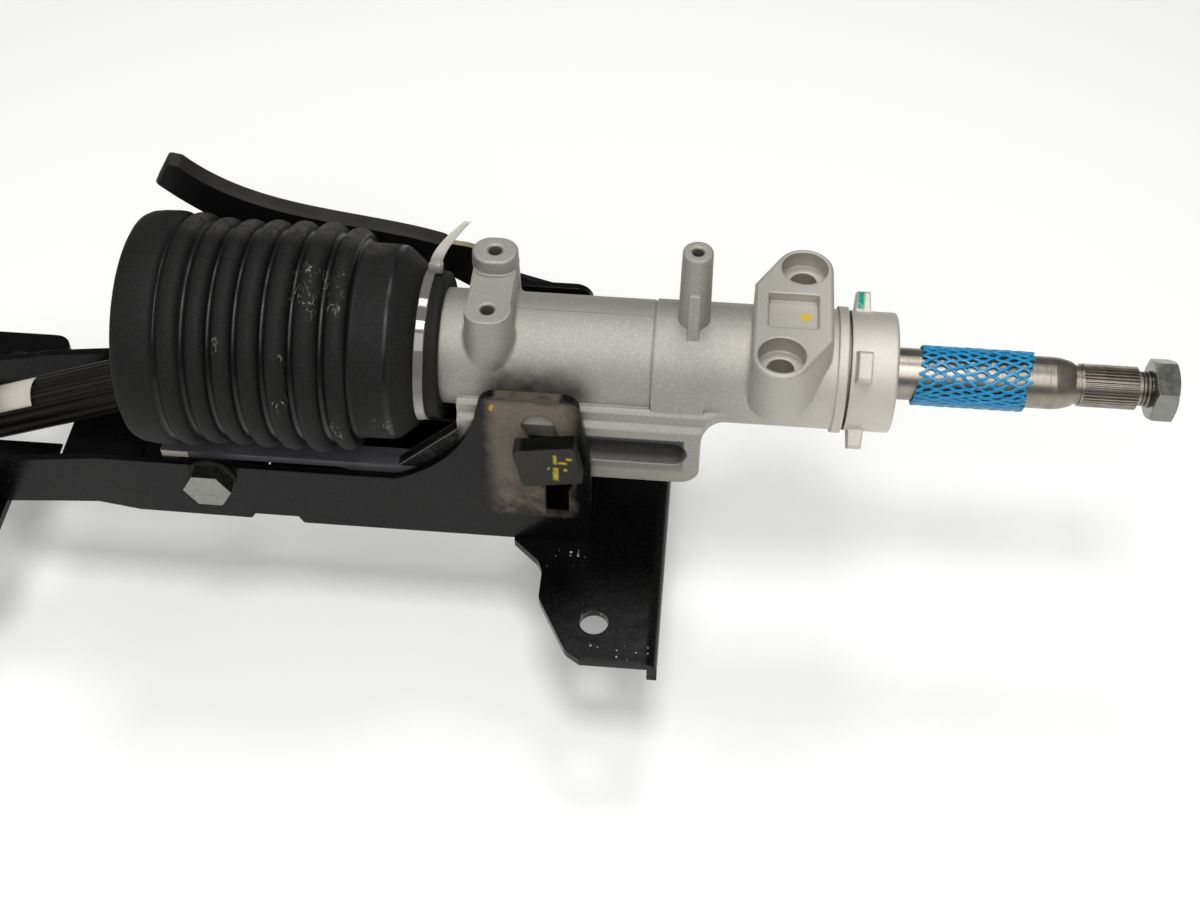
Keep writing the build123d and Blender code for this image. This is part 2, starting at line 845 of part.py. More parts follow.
# Bracket channel: U-shaped pressing with two slotted ears
tilt_reach = hypot(clamp_x - pivot_x, clamp_z - pivot_z)
rest_angle = degrees(atan2(clamp_z - pivot_z, clamp_x - pivot_x))
with BuildPart() as bracket_channel:
    with BuildSketch(Plane.XZ):
        with BuildLine():
            wall_step_x = channel_x0 + wall_step_length
            Polyline(
                (channel_x0, channel_bottom),
                (channel_x0, wall_end_top),
                (channel_x0 + foot_length, wall_foot_top),
                (wall_step_x, wall_step_top),
                (wall_step_x + wall_rise_length, wall_top_z),
                (ear_x0 + ear_sweep[0][0], wall_top_z),
            )
            ThreePointArc(*[(ear_x0 + dx, z) for dx, z in ear_sweep])
            Polyline(
                (ear_x0 + ear_sweep[2][0], ear_sweep[2][1]),
                (ear_x0, ear_top),
                (ear_x1 - ear_front_lean, ear_top),
                (ear_x1, ear_front_z),
                (ear_x1, channel_bottom),
                *[(pivot_x + dx, channel_bottom + rise) for dx, rise in belly],
                (channel_x0, channel_bottom),
            )
        make_face()
    extrude(amount=channel_half_y, both=True)
    ear_corners = edges().filter_by(Axis.Y).group_by(Axis.Z)[-1]
    fillet(ear_corners, radius=ear_corner_r)
    inside = channel_half_y - channel_wall
    hollow_height = 2 * (ear_top - channel_bottom)
    with BuildSketch(Plane.YZ.offset(channel_x0 - 1)):
        with Locations((0, channel_bottom + channel_wall + hollow_height / 2)):
            RectangleRounded(2 * inside, hollow_height, channel_bend_r)
    extrude(amount=ear_x1 - channel_x0 + 2, mode=Mode.SUBTRACT)
    with BuildSketch(Plane.XY.offset(channel_bottom - 1)):
        with Locations((channel_x0 - 1, 0)):
            Rectangle(web_x0 - channel_x0 + 1, 2 * inside, align=(Align.MIN, Align.CENTER))
        with Locations((web_x0, 0)):
            Circle(web_bay_r)
    extrude(amount=channel_wall + channel_bend_r + 1, mode=Mode.SUBTRACT)
    with BuildSketch(Plane.XZ):
        with BuildLine(mode=Mode.PRIVATE) as tilt_arc:
            CenterArc((pivot_x, pivot_z), tilt_reach, rest_angle - tilt_down, tilt_up + tilt_down)
        SlotArc(tilt_arc.edges()[0], ear_slot_width)
        notch_x = pivot_x + tilt_reach * cos(radians(rest_angle - tilt_down))
        notch_top = pivot_z + tilt_reach * sin(radians(rest_angle - tilt_down))
        with Locations((notch_x, notch_bottom)):
            Rectangle(notch_width, notch_top - notch_bottom, align=(Align.CENTER, Align.MIN))
        with Locations((pivot_x, pivot_z)):
            Circle(bolt_r + 2 * run_gap)
    extrude(amount=channel_half_y + 1, both=True, mode=Mode.SUBTRACT)
save(bracket_channel, "bracket_channel")

# Mounting plate under the ears, with its front edge turned down
plate_top = channel_bottom
plate_bottom = plate_top - plate_thickness
with BuildPart() as mounting_plate:
    with BuildSketch(Plane.XY.offset(plate_bottom)):
        with BuildLine():
            Polyline(
                *[(plate_hole_x + dx, -y) for dx, y in plate_waist],
                (plate_x1, -plate_half_y),
                (plate_x1, 0),
                close=True,
            )
        make_face()
        mirror(about=Plane.XZ)
        fillet(vertices().sort_by(Axis.X)[2:10], radius=plate_corner_r)
    extrude(amount=plate_thickness)
    with BuildSketch(Plane.XZ):
        with BuildLine():
            Polyline(
                (plate_x1 - plate_thickness, plate_top),
                (plate_x1 - plate_thickness, plate_bottom - plate_lip),
                (plate_x1, plate_bottom - plate_lip),
                (plate_x1, plate_top),
                close=True,
            )
        make_face()
    extrude(amount=plate_half_y, both=True)
    bend = edges().filter_by(Axis.Y).filter_by_position(Axis.X, plate_x1 - 0.01, plate_x1 + 0.01)
    fillet(bend.sort_by(Axis.Z)[-1], radius=plate_bend_r)
    with Locations((plate_hole_x, -plate_hole_y, plate_top), (plate_hole_x, plate_hole_y, plate_top)):
        Hole(plate_hole_r)
save(mounting_plate, "mounting_plate")

# Lower feet welded to the channel walls at the far end
with BuildPart() as lower_feet:
    with BuildSketch(Plane.XY.offset(plate_bottom)):
        with Locations((channel_x0, inside - foot_lap)):
            Rectangle(foot_length, foot_half_y - inside + foot_lap, align=(Align.MIN, Align.MIN))
        with Locations((channel_x0 + foot_length / 2, foot_hole_y)):
            Circle(foot_hole_r, mode=Mode.SUBTRACT)
        fillet(vertices().group_by(Axis.Y)[-1], radius=foot_corner_r)
    extrude(amount=plate_thickness)
    mirror(about=Plane.XZ)
save(lower_feet, "lower_feet")


def hex_prism(across_flats, height, y_start, centre_x, centre_z):
    """Hexagon along Y, added to the part that is being built."""
    with BuildSketch(Plane.XZ.offset(-y_start)) as outline:
        with Locations((centre_x, centre_z)):
            RegularPolygon(across_flats / 2, 6, major_radius=False)
    extrude(outline.sketch, amount=-height)


def disc_along_y(radius, y_start, y_end, centre_x, centre_z, mode=Mode.ADD):
    """Round bar along Y, added to or cut from the part that is being built."""
    with BuildSketch(Plane.XZ.offset(-y_start)) as outline:
        with Locations((centre_x, centre_z)):
            Circle(radius)
    extrude(outline.sketch, amount=y_start - y_end, mode=mode)


# Tilt pivot bolt, washers and nut through the channel walls
washer_y = channel_half_y + washer_thickness
with BuildPart() as pivot_bolt:
    hex_prism(hex_across_flats, hex_height, -washer_y - hex_height, pivot_x, pivot_z)
    disc_along_y(bolt_r, -washer_y, washer_y + pivot_nut_height + bolt_show, pivot_x, pivot_z)
save(pivot_bolt, "pivot_bolt")

with BuildPart() as pivot_washers:
    for side in (-1, 1):
        y0, y1 = sorted((side * channel_half_y, side * washer_y))
        disc_along_y(washer_r, y0, y1, pivot_x, pivot_z)
        disc_along_y(bolt_r, y0, y1, pivot_x, pivot_z, mode=Mode.SUBTRACT)
save(pivot_washers, "pivot_washers")

with BuildPart() as pivot_nut:
    hex_prism(hex_across_flats, pivot_nut_height, washer_y, pivot_x, pivot_z)
    disc_along_y(bolt_r, washer_y, washer_y + pivot_nut_height, pivot_x, pivot_z, mode=Mode.SUBTRACT)
save(pivot_nut, "pivot_nut")

# Sleeve between the rails and the slide blocks in their slots, all on the pivot bolt
pivot_bore = bolt_r + run_gap
with BuildPart() as pivot_sleeve:
    disc_along_y(sleeve_r, -rail_inner_y, rail_inner_y, pivot_x, pivot_z)
    disc_along_y(pivot_bore, -rail_inner_y, rail_inner_y, pivot_x, pivot_z, mode=Mode.SUBTRACT)
save(pivot_sleeve, "pivot_sleeve")

with BuildPart() as slide_blocks:
    for side in (-1, 1):
        y0, y1 = sorted((side * rail_inner_y, side * (inside - slide_gap)))
        with BuildSketch(Plane.XZ.offset(-y0)):
            with Locations((pivot_x, pivot_z)):
                SlotOverall(block_length, 2 * (rail_slot_half - slide_gap))
                Circle(pivot_bore, mode=Mode.SUBTRACT)
        extrude(amount=y0 - y1)
save(slide_blocks, "slide_blocks")

# Clamp bolt with its rectangular head block outside the near ear
stack_y = channel_half_y
head_y = -stack_y - slide_gap
cam_y = stack_y + slide_gap
lever_y = cam_y + 2 * cam_thickness
nut_y = lever_y + lever_thickness
with BuildPart() as clamp_bolt:
    with BuildSketch(Plane.XZ.offset(-head_y)):
        with Locations(Location((clamp_x, clamp_z), head_block_turn)):
            RectangleRounded(head_block[0], head_block[2], head_block_corner_r)
    extrude(amount=head_block[1])
    disc_along_y(bolt_r, head_y, nut_y + washer_thickness + clamp_nut_height + bolt_show, clamp_x, clamp_z)
save(clamp_bolt, "clamp_bolt")

with BuildPart() as guide_sleeve:
    disc_along_y(sleeve_r, head_y, cam_y, clamp_x, clamp_z)
    disc_along_y(bolt_r, head_y, cam_y, clamp_x, clamp_z, mode=Mode.SUBTRACT)
save(guide_sleeve, "guide_sleeve")

# Cam pair: three raised lobes face each other while the clamp is locked
for cam_name, base_y, face_y in (
    ("fixed_cam", cam_y, cam_y + cam_thickness),
    ("moving_cam", lever_y, lever_y - cam_thickness),
):
    towards = 1 if face_y > base_y else -1
    floor_y = base_y + towards * (cam_thickness - cam_lobe_height)
    bore = bolt_r if cam_name == "fixed_cam" else pivot_bore
    with BuildPart() as cam:
        y0, y1 = sorted((base_y, floor_y))
        disc_along_y(cam_r, y0, y1, clamp_x, clamp_z)
        with BuildSketch(Plane.XZ.offset(-floor_y)):
            with Locations((clamp_x, clamp_z)):
                with PolarLocations(cam_r - cam_lobe_r - cam_lobe_inset, cam_lobes):
                    Circle(cam_lobe_r)
        extrude(amount=-towards * cam_lobe_height)
        y0, y1 = sorted((base_y, face_y))
        disc_along_y(bore, y0, y1, clamp_x, clamp_z, mode=Mode.SUBTRACT)
    save(cam, cam_name)

# Clamp lever plate, joggled outwards to pass the bellows
joggle_y = grip_y0 + (grip_thickness - lever_thickness) / 2
tang = [
    (grip_x1 + lever_corner_r * 2, grip_upper[0][1] - lever_shoulder),
    (grip_x1 - tang_length, tang_top),
    (grip_x1 - tang_length, tang_bottom),
    (grip_x1, grip_lower[-1][1] + lever_shoulder),
]
with BuildPart() as lever_plate:
    with BuildSketch(Plane.XZ.offset(-lever_y)):
        with BuildLine():
            Polyline(
                *[(clamp_x + dx, clamp_z + dz) for dx, dz in lever_front],
                *tang,
                *[(clamp_x + dx, clamp_z + dz) for dx, dz in lever_rear],
                close=True,
            )
        make_face()
        fillet(vertices(), radius=lever_corner_r)
        with Locations((clamp_x, clamp_z)):
            Circle(pivot_bore, mode=Mode.SUBTRACT)
    extrude(amount=lever_y - joggle_y - lever_thickness)
    with BuildSketch(Plane.XY.offset(clamp_z - 2 * cam_r)):
        with BuildLine():
            inner_edge = [
                (clamp_x + 2 * cam_r, lever_y),
                (joggle_x1, lever_y),
                (joggle_x0, joggle_y),
                (grip_x1 - 2 * tang_length, joggle_y),
            ]
            outer_edge = [(x, y + lever_thickness) for x, y in reversed(inner_edge)]
            Polyline(*inner_edge, *outer_edge, close=True)
        make_face()
    extrude(amount=4 * cam_r + tang_top - clamp_z, mode=Mode.INTERSECT)
save(lever_plate, "lever_plate")

# Moulded grip with a closed pocket that takes the tang of the lever plate
with BuildPart() as lever_grip:
    with BuildSketch(Plane.XZ.offset(-grip_y0)):
        with BuildLine():
            upper_edge = [(grip_x1 + dx, z) for dx, z in grip_upper]
            lower_edge = [(grip_x1 + dx, z) for dx, z in grip_lower]
            tip = (grip_x1 + grip_tip[0], grip_tip[1])
            Spline(*upper_edge)
            Polyline(upper_edge[-1], tip, lower_edge[0])
            Spline(*lower_edge)
            Line(lower_edge[-1], upper_edge[0])
        make_face()
        fillet(vertices(), radius=grip_corner_r)
    extrude(amount=-grip_thickness)
    chamfer(faces().filter_by(Axis.Y).edges(), length=grip_edge)
    with BuildSketch(Plane.XZ.offset(-joggle_y)):
        with BuildLine():
            Polyline(*tang, close=True)
        make_face()
        offset(amount=slide_gap)
    extrude(amount=-lever_thickness, mode=Mode.SUBTRACT)
save(lever_grip, "lever_grip")

with BuildPart() as clamp_washer:
    disc_along_y(washer_r, nut_y, nut_y + washer_thickness, clamp_x, clamp_z)
    disc_along_y(bolt_r, nut_y, nut_y + washer_thickness, clamp_x, clamp_z, mode=Mode.SUBTRACT)
save(clamp_washer, "clamp_washer")

clamp_nut_y = nut_y + washer_thickness
with BuildPart() as clamp_nut:
    hex_prism(clamp_nut_across_flats, clamp_nut_height, clamp_nut_y, clamp_x, clamp_z)
    disc_along_y(bolt_r, clamp_nut_y, clamp_nut_y + clamp_nut_height, clamp_x, clamp_z, mode=Mode.SUBTRACT)
save(clamp_nut, "clamp_nut")


def fork(centre, direction, ears_in_plane, bore_r):
    """Forked yoke whose hub lies along direction, added to the part being built."""
    ear_axis = direction.cross(Vector(0, 1, 0)) if ears_in_plane else Vector(0, 1, 0)
    for side in (-1, 1):
        ear_face = centre + ear_axis * (side * ear_inner)
        ear_plane = Plane(origin=ear_face, x_dir=direction, z_dir=ear_axis * side)
        with BuildSketch(ear_plane) as outline:
            Circle(ear_r)
            Rectangle(fork_base + 1, 2 * ear_r, align=(Align.MIN, Align.CENTER))
        extrude(outline.sketch, amount=ear_outer - ear_inner)
    base_plane = Plane(origin=centre + direction * fork_base, x_dir=ear_axis, z_dir=direction)
    with BuildSketch(base_plane) as outline:
        Rectangle(2 * ear_outer, 2 * ear_r)
    extrude(outline.sketch, amount=fork_base_length)
    with BuildSketch(Plane(origin=centre - direction * ear_r, x_dir=ear_axis, z_dir=direction)) as outline:
        Circle(ear_outer + fork_bulge)
    extrude(outline.sketch, amount=ear_r + fork_base + fork_base_length, mode=Mode.INTERSECT)
    with BuildSketch(base_plane) as outline:
        Circle(hub_r)
    extrude(outline.sketch, amount=fork_base_length + hub_length)
    if bore_r:
        with BuildSketch(base_plane) as outline:
            Circle(bore_r)
        extrude(outline.sketch, amount=fork_base_length + hub_length, mode=Mode.SUBTRACT)
    eye_start = centre - ear_axis * (ear_outer + 1)
    with BuildSketch(Plane(origin=eye_start, x_dir=direction, z_dir=ear_axis)) as outline:
        Circle(cup_r)
    extrude(outline.sketch, amount=2 * ear_outer + 2, mode=Mode.SUBTRACT)


def cups(centre, direction, ears_in_plane, closed=False):
    """Pair of bearing cups in the eyes of a fork, hollow for the trunnions or closed."""
    ear_axis = direction.cross(Vector(0, 1, 0)) if ears_in_plane else Vector(0, 1, 0)
    for side in (-1, 1):
        ear_face = centre + ear_axis * (side * ear_inner)
        cup_plane = Plane(origin=ear_face, x_dir=direction, z_dir=ear_axis * side)
        with BuildSketch(cup_plane) as outline:
            Circle(cup_r)
        extrude(outline.sketch, amount=ear_outer - ear_inner - cup_sink)
        if not closed:
            with BuildSketch(cup_plane) as outline:
                Circle(trunnion_r + run_gap)
            extrude(outline.sketch, amount=ear_outer - ear_inner - cup_sink - cup_floor, mode=Mode.SUBTRACT)


# Upper universal joint
column_axis = Vector(1, 0, 0)
with BuildPart() as upper_yoke:
    fork(joint_point, column_axis, False, shaft_r)
save(upper_yoke, "upper_yoke")

with BuildPart() as upper_yoke_cups:
    cups(joint_point, column_axis, False, closed=True)
save(upper_yoke_cups, "upper_yoke_cups")

with BuildPart() as intermediate_yoke:
    fork(joint_point, axis_down, True, tube_bore_r)
save(intermediate_yoke, "intermediate_yoke")

with BuildPart() as intermediate_cups:
    cups(joint_point, axis_down, True)
save(intermediate_cups, "intermediate_cups")

closed_trunnion = ear_outer - cup_sink - cup_floor - trunnion_gap
in_plane = axis_down.cross(Vector(0, 1, 0))
with BuildPart() as upper_cross:
    with BuildSketch(Plane(origin=joint_point, x_dir=axis_down, z_dir=(0, 1, 0))):
        Circle(trunnion_r)
    extrude(amount=ear_inner, both=True)
    with Locations(joint_point):
        Sphere(ear_inner - soft_gap, mode=Mode.INTERSECT)
    with BuildSketch(Plane(origin=joint_point - in_plane * closed_trunnion, x_dir=axis_down, z_dir=in_plane)):
        Circle(trunnion_r)
    extrude(amount=2 * closed_trunnion)
    with BuildSketch(Plane(origin=joint_point, x_dir=in_plane, z_dir=axis_down)):
        RectangleRounded(cross_width, cross_width, cross_corner_r)
    extrude(amount=cross_half, both=True)
save(upper_cross, "upper_cross")

# Fluted tube of the intermediate shaft
fork_length = fork_base + fork_base_length + hub_length
with BuildPart() as intermediate_tube:
    with BuildSketch(square_to(joint_point + axis_down * fork_length, axis_down)):
        Circle(tube_r)
        with PolarLocations(tube_r + flute_r - flute_depth, flutes):
            Circle(flute_r, mode=Mode.SUBTRACT)
        Circle(tube_bore_r, mode=Mode.SUBTRACT)
    extrude(amount=tube_end - fork_length)
save(intermediate_tube, "intermediate_tube")

# Inner shaft that slides in the tube, with the lower fork at its end
with BuildPart() as inner_shaft:
    fork(lower_point, axis_down * -1, False, 0)
    with BuildSketch(square_to(joint_point + axis_down * inner_start, axis_down)):
        Circle(tube_bore_r - run_gap)
    extrude(amount=lower_joint_at - inner_start - fork_base)
save(inner_shaft, "inner_shaft")

with BuildPart() as inner_shaft_cups:
    cups(lower_point, axis_down * -1, False)
save(inner_shaft_cups, "inner_shaft_cups")

# Lower cross turns in the fork above and in the clamp yoke below
low_plane = axis_low.cross(Vector(0, 1, 0))
trunnion_end = lower_point - low_plane * closed_trunnion
with BuildPart() as lower_cross:
    with BuildSketch(Plane(origin=trunnion_end, x_dir=axis_low, z_dir=low_plane)):
        Circle(trunnion_r)
    extrude(amount=2 * closed_trunnion)
    with BuildSketch(Plane(origin=lower_point, x_dir=axis_low, z_dir=(0, 1, 0))):
        Circle(trunnion_r)
    extrude(amount=closed_trunnion, both=True)
    with BuildSketch(Plane(origin=lower_point, x_dir=low_plane, z_dir=axis_low)):
        RectangleRounded(cross_width, cross_width, cross_corner_r)
    extrude(amount=cross_half, both=True)
save(lower_cross, "lower_cross")

# Clamp yoke that takes the steering gear's shaft
pad_half = hub_r - clamp_bore_r / 4
pinch_fall = clamp_bore_r + pinch_web + pinch_r
pad_fall = pinch_fall + pinch_r + pinch_land
clamp_start = fork_base + fork_base_length
pinch_along = clamp_start + hub_length + clamp_yoke_length / 2
pinch_point = lower_point + axis_low * pinch_along + low_plane * pinch_fall
with BuildPart() as clamp_yoke:
    fork(lower_point, axis_low, True, 0)
    with BuildSketch(square_to(lower_point + axis_low * clamp_start, axis_low)):
        Circle(hub_r)
        Rectangle(2 * pad_half, pad_fall, align=(Align.CENTER, Align.MIN))
    extrude(amount=hub_length + clamp_yoke_length)
    with BuildSketch(square_to(lower_point + axis_low * (clamp_start + clamp_floor), axis_low)):
        Circle(clamp_bore_r)
        Rectangle(clamp_slit, pad_fall + 1, align=(Align.CENTER, Align.MIN))
    extrude(amount=hub_length + clamp_yoke_length, mode=Mode.SUBTRACT)
    disc_along_y(pinch_r, -pad_half, pad_half, pinch_point.X, pinch_point.Z, mode=Mode.SUBTRACT)
save(clamp_yoke, "clamp_yoke")

# Pinch bolt that closes the clamp yoke on the steering gear's shaft
with BuildPart() as pinch_bolt:
    hex_prism(pinch_across_flats, pinch_head, -pad_half - pinch_head, pinch_point.X, pinch_point.Z)
    disc_along_y(pinch_r, -pad_half, pad_half + bolt_show, pinch_point.X, pinch_point.Z)
save(pinch_bolt, "pinch_bolt")

with BuildPart() as clamp_yoke_cups:
    cups(lower_point, axis_low, True)
save(clamp_yoke_cups, "clamp_yoke_cups")
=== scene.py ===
import math

import bpy
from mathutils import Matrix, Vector


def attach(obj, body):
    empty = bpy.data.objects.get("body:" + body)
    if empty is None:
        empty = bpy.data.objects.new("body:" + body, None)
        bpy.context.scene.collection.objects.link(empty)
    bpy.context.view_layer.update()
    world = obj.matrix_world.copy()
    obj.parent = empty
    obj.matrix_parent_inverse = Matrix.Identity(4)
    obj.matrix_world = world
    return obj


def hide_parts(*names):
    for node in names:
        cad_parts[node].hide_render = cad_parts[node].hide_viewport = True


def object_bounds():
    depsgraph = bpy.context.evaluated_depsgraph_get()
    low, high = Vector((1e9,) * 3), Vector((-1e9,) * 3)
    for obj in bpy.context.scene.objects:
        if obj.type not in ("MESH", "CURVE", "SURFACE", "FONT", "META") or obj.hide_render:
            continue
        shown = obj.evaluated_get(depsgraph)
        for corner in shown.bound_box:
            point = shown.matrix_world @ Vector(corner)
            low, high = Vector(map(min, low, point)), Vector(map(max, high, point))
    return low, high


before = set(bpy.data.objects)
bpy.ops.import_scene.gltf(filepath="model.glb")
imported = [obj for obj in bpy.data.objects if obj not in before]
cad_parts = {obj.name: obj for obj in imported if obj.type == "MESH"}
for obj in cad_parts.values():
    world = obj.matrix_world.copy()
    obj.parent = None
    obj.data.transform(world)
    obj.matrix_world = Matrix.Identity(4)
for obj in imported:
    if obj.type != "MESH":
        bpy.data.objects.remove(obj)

cad_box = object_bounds()

# Camera where the photograph was taken from, above the near side of the
# column and turned a little towards its lower end. The lens covers the
# photograph's 1200 by 900 frame.
camera_place = Vector((-0.1458, -0.4326, 0.4601))
camera_azimuth = 4.96
camera_elevation = 50.0
sensor_mm = 36.0
lens_mm = 49.02
camera_data = bpy.data.cameras.new("camera")
camera_data.sensor_width = sensor_mm
camera_data.lens = lens_mm
camera_data.clip_start = 0.01
camera = bpy.data.objects.new("camera", camera_data)
bpy.context.scene.collection.objects.link(camera)
camera.location = camera_place
camera.rotation_euler = (math.radians(90 - camera_elevation), 0.0, math.radians(camera_azimuth))
bpy.context.scene.camera = camera

# Soft studio light: two square panels overhead, as the pair of glints on the
# cable tie shows, two weak boxes and a dim even surround. Each row has a name,
# a place, the spot that the light is turned to, its size and its watts.
surround_strength = 0.20
lights = (
    ("front_panel", (-0.13, -0.42, 1.36), (-0.17, 0.0, 0.0), 0.32, 9.2),
    ("rear_panel", (-0.13, 0.46, 1.34), (-0.17, 0.0, 0.0), 0.32, 6.0),
    ("camera_box", (-0.12, -0.85, 0.95), (-0.2, 0.0, 0.0), 0.60, 5.8),
    ("left_box", (-1.7, -0.3, 0.8), (-0.3, 0.0, 0.0), 0.8, 3.0),
)
for name, place, target, size, power in lights:
    light_data = bpy.data.lights.new(name, "AREA")
    light_data.shape = "SQUARE"
    light_data.size = size
    light_data.energy = power
    light = bpy.data.objects.new(name, light_data)
    bpy.context.scene.collection.objects.link(light)
    light.location = place
    light.rotation_euler = (Vector(target) - Vector(place)).to_track_quat("-Z", "Y").to_euler()
surround = bpy.data.worlds.new("pale_surround")
surround.use_nodes = True
surround.node_tree.nodes["Background"].inputs["Color"].default_value = (1.0, 1.0, 1.0, 1.0)
surround.node_tree.nodes["Background"].inputs["Strength"].default_value = surround_strength
bpy.context.scene.world = surround
bpy.context.scene.view_settings.view_transform = "Standard"


def linear(hex_colour):
    """A colour given as sRGB hex, turned to linear with full alpha."""
    channels = [int(hex_colour[i:i + 2], 16) / 255 for i in (0, 2, 4)]
    return tuple(c / 12.92 if c <= 0.04045 else ((c + 0.055) / 1.055) ** 2.4 for c in channels) + (1.0,)


def add(tree, kind, inputs=None, **settings):
    """Add one node with its settings, and set or link its inputs.

    Inputs 1 and 2 of a map range node are its from range, 3 and 4 its to range.
    """
    node = tree.nodes.new(kind)
    for key, value in settings.items():
        setattr(node, key, value)
    for key, value in (inputs or {}).items():
        if isinstance(value, bpy.types.NodeSocket):
            tree.links.new(value, node.inputs[key])
        else:
            node.inputs[key].default_value = value
    return node


def new_finish(name):
    """An empty node material, and the place on the piece in metres."""
    material = bpy.data.materials.new(name)
    material.use_nodes = True
    material.node_tree.nodes.clear()
    return material, material.node_tree, add(material.node_tree, "ShaderNodeTexCoord").outputs["Object"]


def new_piece(name, points, faces, material, smooth=True):
    """A mesh object from points in metres, with one material."""
    mesh = bpy.data.meshes.new(name)
    mesh.from_pydata([tuple(p) for p in points], [], faces)
    mesh.materials.append(material)
    mesh.update()
    for polygon in mesh.polygons:
        polygon.use_smooth = smooth
    piece = bpy.data.objects.new(name, mesh)
    bpy.context.scene.collection.objects.link(piece)
    return piece


# Plain pale floor under the lowest piece: matte white board lit a little from
# behind, so it gives only a soft shadow and a little light from below.
floor_half = 3.0
floor_gap = 0.0005
board_fibres_per_metre = 260.0
floor_z = cad_box[0][2] - floor_gap
board, tree, place = new_finish("matte_white_board")
board_fibre = add(tree, "ShaderNodeTexNoise", {
    "Vector": place,
    "Scale": board_fibres_per_metre,
    "Detail": 2.0,
})
board_relief = add(tree, "ShaderNodeBump", {
    "Strength": 0.05,
    "Distance": 0.0002,
    "Height": board_fibre.outputs[0],
})
shader = add(tree, "ShaderNodeBsdfPrincipled", {
    "Base Color": linear("F6F6F4"),
    "Roughness": 0.9,
    "Emission Color": (1.0, 1.0, 1.0, 1.0),
    "Emission Strength": 0.14,
    "Normal": board_relief.outputs[0],
})
add(tree, "ShaderNodeOutputMaterial", {"Surface": shader.outputs[0]})
floor_corners = [(x * floor_half, y * floor_half, floor_z) for x, y in ((-1, -1), (1, -1), (1, 1), (-1, 1))]
floor = new_piece("floor", floor_corners, [(0, 1, 2, 3)], board)


def dress(material, *nodes):
    """Give CAD nodes a better material in their own slots."""
    for node in nodes:
        for material_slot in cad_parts[node].material_slots:
            material_slot.material = material


def per_mm(size):
    """Texture scale that gives features of this many millimetres."""
    return 1000.0 / size


def near(tree, where, centre, half_size, feather):
    """Mask that is 1 inside a box round a place and fades over a feather, all in metres."""
    shift = add(tree, "ShaderNodeVectorMath", {0: where, 1: centre}, operation="SUBTRACT")
    away = add(tree, "ShaderNodeVectorMath", {0: shift.outputs[0]}, operation="ABSOLUTE")
    past = add(tree, "ShaderNodeVectorMath", {0: away.outputs[0], 1: half_size}, operation="SUBTRACT")
    kept = add(tree, "ShaderNodeVectorMath", {0: past.outputs[0], 1: (0.0, 0.0, 0.0)}, operation="MAXIMUM")
    length = add(tree, "ShaderNodeVectorMath", {0: kept.outputs[0]}, operation="LENGTH")
    return add(tree, "ShaderNodeMapRange", {
        "Value": length.outputs["Value"],
        1: feather,
        2: 0.0,
    }).outputs[0]


# Housing and switch ring: die-cast aluminium, blasted after trimming, which
# leaves an even pale grey grain and rubbed edges; the glints of single facets
# are painted in as pale specks, painted highlights. The real grain is 0.2 mm
# and is drawn at 0.4 mm so that it shows.
grain_mm = 0.4
facet_mm = 0.4
blotch_mm = 26.0
cast, tree, place = new_finish("die_cast_aluminium_blasted")
grain = add(tree, "ShaderNodeTexNoise", {
    "Vector": place,
    "Scale": per_mm(grain_mm),
    "Detail": 3.0,
    "Roughness": 0.7,
})
blotch = add(tree, "ShaderNodeTexNoise", {"Vector": place, "Scale": per_mm(blotch_mm), "Detail": 4.0})
# Pale specks on single facets: painted glints, with a lower roughness.
facets = add(tree, "ShaderNodeTexVoronoi", {"Vector": place, "Scale": per_mm(facet_mm)})
facet_pick = add(tree, "ShaderNodeSeparateColor", {"Color": facets.outputs["Color"]})
facet_glint = add(tree, "ShaderNodeMapRange", {
    "Value": facet_pick.outputs[0],
    1: 0.80,
    2: 1.0,
    3: 0.0,
    4: 0.20,
})
cast_body = add(tree, "ShaderNodeMix", {
    "Factor": blotch.outputs[0],
    "A": linear("B6B4AE"),
    "B": linear("C4C2BD"),
}, data_type="RGBA").outputs["Result"]
cast_colour = add(tree, "ShaderNodeMix", {
    "Factor": grain.outputs[0],
    "A": linear("96938B"),
    "B": cast_body,
}, data_type="RGBA").outputs["Result"]

# The wheel end of the casting and the ring are painted paler and warmer: painted light, where more light
# falls on them.
cast_axes = add(tree, "ShaderNodeSeparateXYZ", {"Vector": place})
painted_light_wheel_end = add(tree, "ShaderNodeMapRange", {
    "Value": cast_axes.outputs[0],
    1: -0.140,
    2: -0.080,
    3: 0.0,
    4: 0.75,
}).outputs[0]

# The corner of a casting is rubbed bright, and its inner corners are darkened from ambient occlusion,
# painted shade.
soft_edge = add(tree, "ShaderNodeBevel", {"Radius": 0.0011}, samples=6)
facing = add(tree, "ShaderNodeNewGeometry")
edge_turn = add(tree, "ShaderNodeVectorMath", {0: soft_edge.outputs[0], 1: facing.outputs["Normal"]},
                operation="DOT_PRODUCT")
edge_mask = add(tree, "ShaderNodeMapRange", {
    "Value": edge_turn.outputs["Value"],
    1: 0.995,
    2: 0.90,
    3: 0.0,
    4: 1.0,
})
worn_edge = add(tree, "ShaderNodeMath", {
    0: edge_mask.outputs[0],
    1: grain.outputs[0],
}, operation="MULTIPLY").outputs[0]
corners = add(tree, "ShaderNodeAmbientOcclusion", {"Distance": 0.006}, samples=6)
corner_painted_shade = add(tree, "ShaderNodeMapRange", {
    "Value": corners.outputs["AO"],
    1: 0.55,
    2: 0.15,
    3: 0.0,
    4: 0.55,
})

# Parting line along the top of the tube, between the bosses and the step.
parting_line = near(tree, place, (-0.189, 0.0002, 0.0225), (0.027, 0.00012, 0.004), 0.00012)
part_shown = add(tree, "ShaderNodeMath", {
    0: parting_line,
    1: blotch.outputs[0],
}, operation="MULTIPLY").outputs[0]
